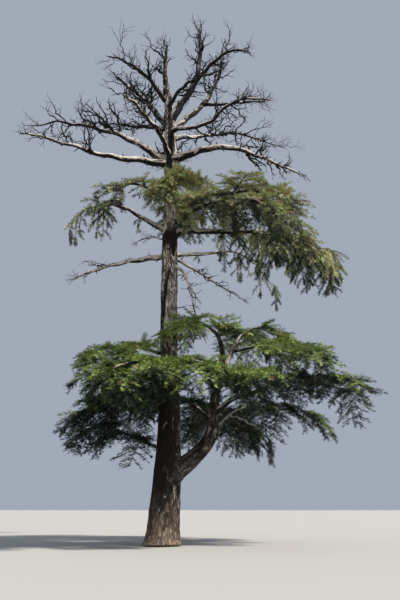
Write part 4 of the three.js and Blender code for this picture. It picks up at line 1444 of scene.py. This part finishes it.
class CEDAR_OT_foliage(bpy.types.Operator):
    """Grows the leafy twigs in two orders on the living boughs, and the sprays of needles on them by tint"""

    bl_idname = "cedar.foliage"
    bl_label = "Leafy Twigs and Needles"

    SEED = 29
    SHAPES = 6
    FULLNESS = (0.95, 0.85, 0.75)
    BOUGH_SPACING = 0.28
    ROOM_AT_TRUNK = 0.12
    LOWEST_SPRAY = 1.2

    # A spray's light follows how high it stands above others, itself and as the mean of its twig
    SQUARE = 0.45
    OWN_RANK = 0.25
    LIGHT_LEVEL = 0.39
    LIGHT_SPAN = 1.1

    # More than the twigs in any group, so that each twig's number is its own
    GROUP_STEP = 1000000

    def grow(self, limbs, sizes, chance):
        """The leafy twigs of these limbs, as a list of bars and a group of sprays."""
        wood, groups = [], []
        for limb in limbs:
            habit = HABITS[limb.habit]
            shoots = mass_shoots(GROWN[limb.name], sizes.leafy_layers, self.FULLNESS)
            shoots += bough_shoots(GROWN[limb.name], self.BOUGH_SPACING, limb.seed + BOUGH_SEED)
            first = twigs_from(shoots, 3, TWIG_THICKNESS / 1.4)
            first = first.kept(inside_crown(first))
            second = self.second_order(first, 0.16 * max(1, 0.5 / limb.leafage), habit, chance)
            second = second.kept(inside_crown(second))
            wood += [bars(first, 4), bars(second, 3)]
            for twigs, room in ((second, sizes.spray_spacing), (first, sizes.spray_spacing * 1.5)):
                bright = self.brightness(twigs, limb, chance)
                sprays = sprays_on(twigs, room, sizes.spray_length, habit, bright, chance)
                groups.append(sprays._replace(twig=sprays.twig + len(groups) * self.GROUP_STEP))
        sprays = gathered(groups)
        ranks = height_ranks(sprays.root, self.SQUARE)
        ranks = self.OWN_RANK * ranks + (1 - self.OWN_RANK) * twig_means(ranks, sprays.twig)
        light = sprays.light + self.LIGHT_LEVEL + self.LIGHT_SPAN * (ranks - 0.5)
        return wood, sprays._replace(light=light)

    def second_order(self, first, spacing, habit, chance):
        """Twigs on both sides of each first one: longest in its middle, so that they fill out a pad."""
        owner, share, number = spread_out(first.lengths, spacing, chance, 0.1, 0.98)
        hand = np.where(number % 2 == 0, 0.0, math.pi)
        lift = np.radians(chance.normal(0, 9, len(owner)))
        roll = np.where(hand > 0, hand - lift, lift)
        spread = np.radians(chance.normal(54, 8, len(owner)))
        broad = 0.42 * np.sin(np.pi * np.clip(0.2 + 0.72 * share, 0, 1)) + 0.06
        lengths = first.lengths[owner] * broad * chance.uniform(0.75, 1.15, len(owner))
        sink = 0.9 if habit.weeps else 0.25
        return branched(first, owner, share, spread, roll, lengths, 3, sink, 0.07, chance, 0.016)

    def brightness(self, twigs, limb, chance):
        """How much light each twig gets: more towards the sun, on weeping boughs and in the fullest mass."""
        tip = twigs.lines[:, -1]
        out = np.hypot(tip[:, 0], tip[:, 1]) / 8
        lit = unit(tip * (1, 1, 0)) @ np.array((0.6, -0.7, 0.0))
        base, shelter = (0.09, 0.3) if limb.name.startswith("low") else (0.0, -0.1)
        if limb.name.startswith("middle") and limb.habit == "weeping":
            base += 0.14
        base += 0.16 * max(limb.leafage - 1, 0)
        return base - shelter * np.clip(out, 0, 1) + 0.11 * lit + chance.normal(0, 0.1, len(tip))

    def tints(self, name, rusty, light, middle, shade):
        """Each tint's material, and its sprays' least and most light. The shade makes two pieces."""
        rows = (("Rusty", rusty, 0, 0), ("Deep", shade, -9, 0.25), ("Shaded", shade, 0.25, 0.4),
                ("Middle", middle, 0.4, 0.6), ("Sunlit", light, 0.6, 9))
        return {tint: (needle_finish(f"{name}{tint}Needles", colour), low, high)
                for tint, colour, low, high in rows}

    def execute(self, context):
        sizes, colours = context.scene.cedar_sizes, context.scene.cedar_colours
        chance = np.random.default_rng(self.SEED)
        shapes = [spray_shape(3, 0.46, chance) for _ in range(self.SHAPES)]
        wood_finish = twig_finish("LeafyTwigs", colours.twig_dark, colours.twig_pale)
        upper = (colours.needle_rust, colours.upper_light, colours.upper_middle, colours.upper_shade)
        lower = (colours.needle_rust, colours.needle_light, colours.needle_middle, colours.needle_shade)
        for region, shades, rust, glow in (("middle", upper, 0.2, -0.03), ("low", lower, 0.04, 0.08)):
            name = region.capitalize()
            tints = self.tints(name, *shades)
            limbs = [limb for limb in LIMBS if limb.name.startswith(region)]
            wood, sprays = self.grow(limbs, sizes, chance)
            keep = clear_of_trunk(sprays.root, self.ROOM_AT_TRUNK)
            keep &= sprays.root[:, 2] > CAD_LOW[2] + self.LOWEST_SPRAY
            sprays = Sprays(*(part[keep] for part in sprays))
            sprays = sprays._replace(light=sprays.light + glow)
            piece = mesh_piece("Wood", *joined(wood), True)
            seat(piece, f"{name}LeafyTwigs", wood_finish, nodes_of(f"foliage_{region}"))
            rusty = (sprays.light > 0.55) & (chance.random(len(sprays.root)) < rust)
            for tint, (material, low, high) in tints.items():
                chosen = rusty if tint == "Rusty" else ~rusty & (sprays.light >= low) & (sprays.light < high)
                part = Sprays(*(values[chosen] for values in sprays))
                piece = mesh_piece("Needles", *spray_mesh(part, shapes, chance), False)
                seat(piece, f"{name}{tint}Needles", material)
        return {"FINISHED"}


class CEDAR_OT_stage(bpy.types.Operator):
    """Sets the plain floor, the soft light and the camera"""

    bl_idname = "cedar.stage"
    bl_label = "Stage"

    FLOOR_SIZE = 600
    FLOOR_DROP = 0.003
    SUN_TURN = (46, 0, 60)
    SUN_SOFTNESS = 5
    SUN_COLOUR = (1.0, 0.95, 0.86)
    FILM_WIDTH = 36
    FURTHEST = 1000

    def execute(self, context):
        stage = context.scene.cedar_stage
        bpy.ops.object.select_all(action="DESELECT")
        bpy.ops.mesh.primitive_plane_add(size=self.FLOOR_SIZE, location=(0, 0, -self.FLOOR_DROP))
        floor = context.object
        floor.name = "Floor"
        finish = Finish("Floor", 0.9)
        finish.surface.inputs["Base Color"].default_value = stage.floor_colour
        floor.data.materials.append(finish.material)
        bpy.ops.object.light_add(type="SUN", rotation=[math.radians(turn) for turn in self.SUN_TURN])
        sun = context.object.data
        sun.energy = stage.sun_strength
        sun.angle = math.radians(self.SUN_SOFTNESS)
        sun.color = self.SUN_COLOUR
        world = bpy.data.worlds.new("Surround")
        world.use_nodes = True
        background = world.node_tree.nodes["Background"]
        background.inputs["Color"].default_value = stage.sky_colour
        background.inputs["Strength"].default_value = stage.sky_strength
        context.scene.world = world
        context.scene.view_settings.view_transform = "Standard"
        tilt = (math.pi / 2 + stage.eye_tilt, 0, 0)
        bpy.ops.object.camera_add(location=stage.eye_place, rotation=tilt)
        camera = context.object
        camera.data.lens = stage.lens
        camera.data.sensor_width = self.FILM_WIDTH
        camera.data.clip_end = self.FURTHEST
        context.scene.camera = camera
        return {"FINISHED"}


class CEDAR_PT_pieces(bpy.types.Panel):
    """The pieces of the tree in the sidebar"""

    bl_idname = "CEDAR_PT_pieces"
    bl_label = "Old Cedar"
    bl_space_type = "VIEW_3D"
    bl_region_type = "UI"
    bl_category = "Cedar"

    def draw(self, context):
        for operator in STEPS:
            self.layout.operator(operator.bl_idname)
        for settings in (context.scene.cedar_sizes, context.scene.cedar_colours, context.scene.cedar_stage):
            box = self.layout.box()
            for name in settings.__annotations__:
                box.prop(settings, name)


STEPS = (
    CEDAR_OT_stage,
    CEDAR_OT_trunk,
    CEDAR_OT_second_stem,
    CEDAR_OT_living_boughs,
    CEDAR_OT_dead_boughs,
    CEDAR_OT_dead_twigs,
    CEDAR_OT_foliage,
)
CLASSES = (CedarSizes, CedarColours, CedarStage, *STEPS, CEDAR_PT_pieces)


def register():
    for cls in CLASSES:
        bpy.utils.register_class(cls)
    bpy.types.Scene.cedar_sizes = bpy.props.PointerProperty(type=CedarSizes)
    bpy.types.Scene.cedar_colours = bpy.props.PointerProperty(type=CedarColours)
    bpy.types.Scene.cedar_stage = bpy.props.PointerProperty(type=CedarStage)


def unregister():
    del bpy.types.Scene.cedar_stage
    del bpy.types.Scene.cedar_colours
    del bpy.types.Scene.cedar_sizes
    for cls in reversed(CLASSES):
        bpy.utils.unregister_class(cls)


def main():
    """Makes every piece in order."""
    register()
    for operator in STEPS:
        getattr(bpy.ops.cedar, operator.bl_idname.split(".")[1])()


if __name__ == "__main__":
    main()
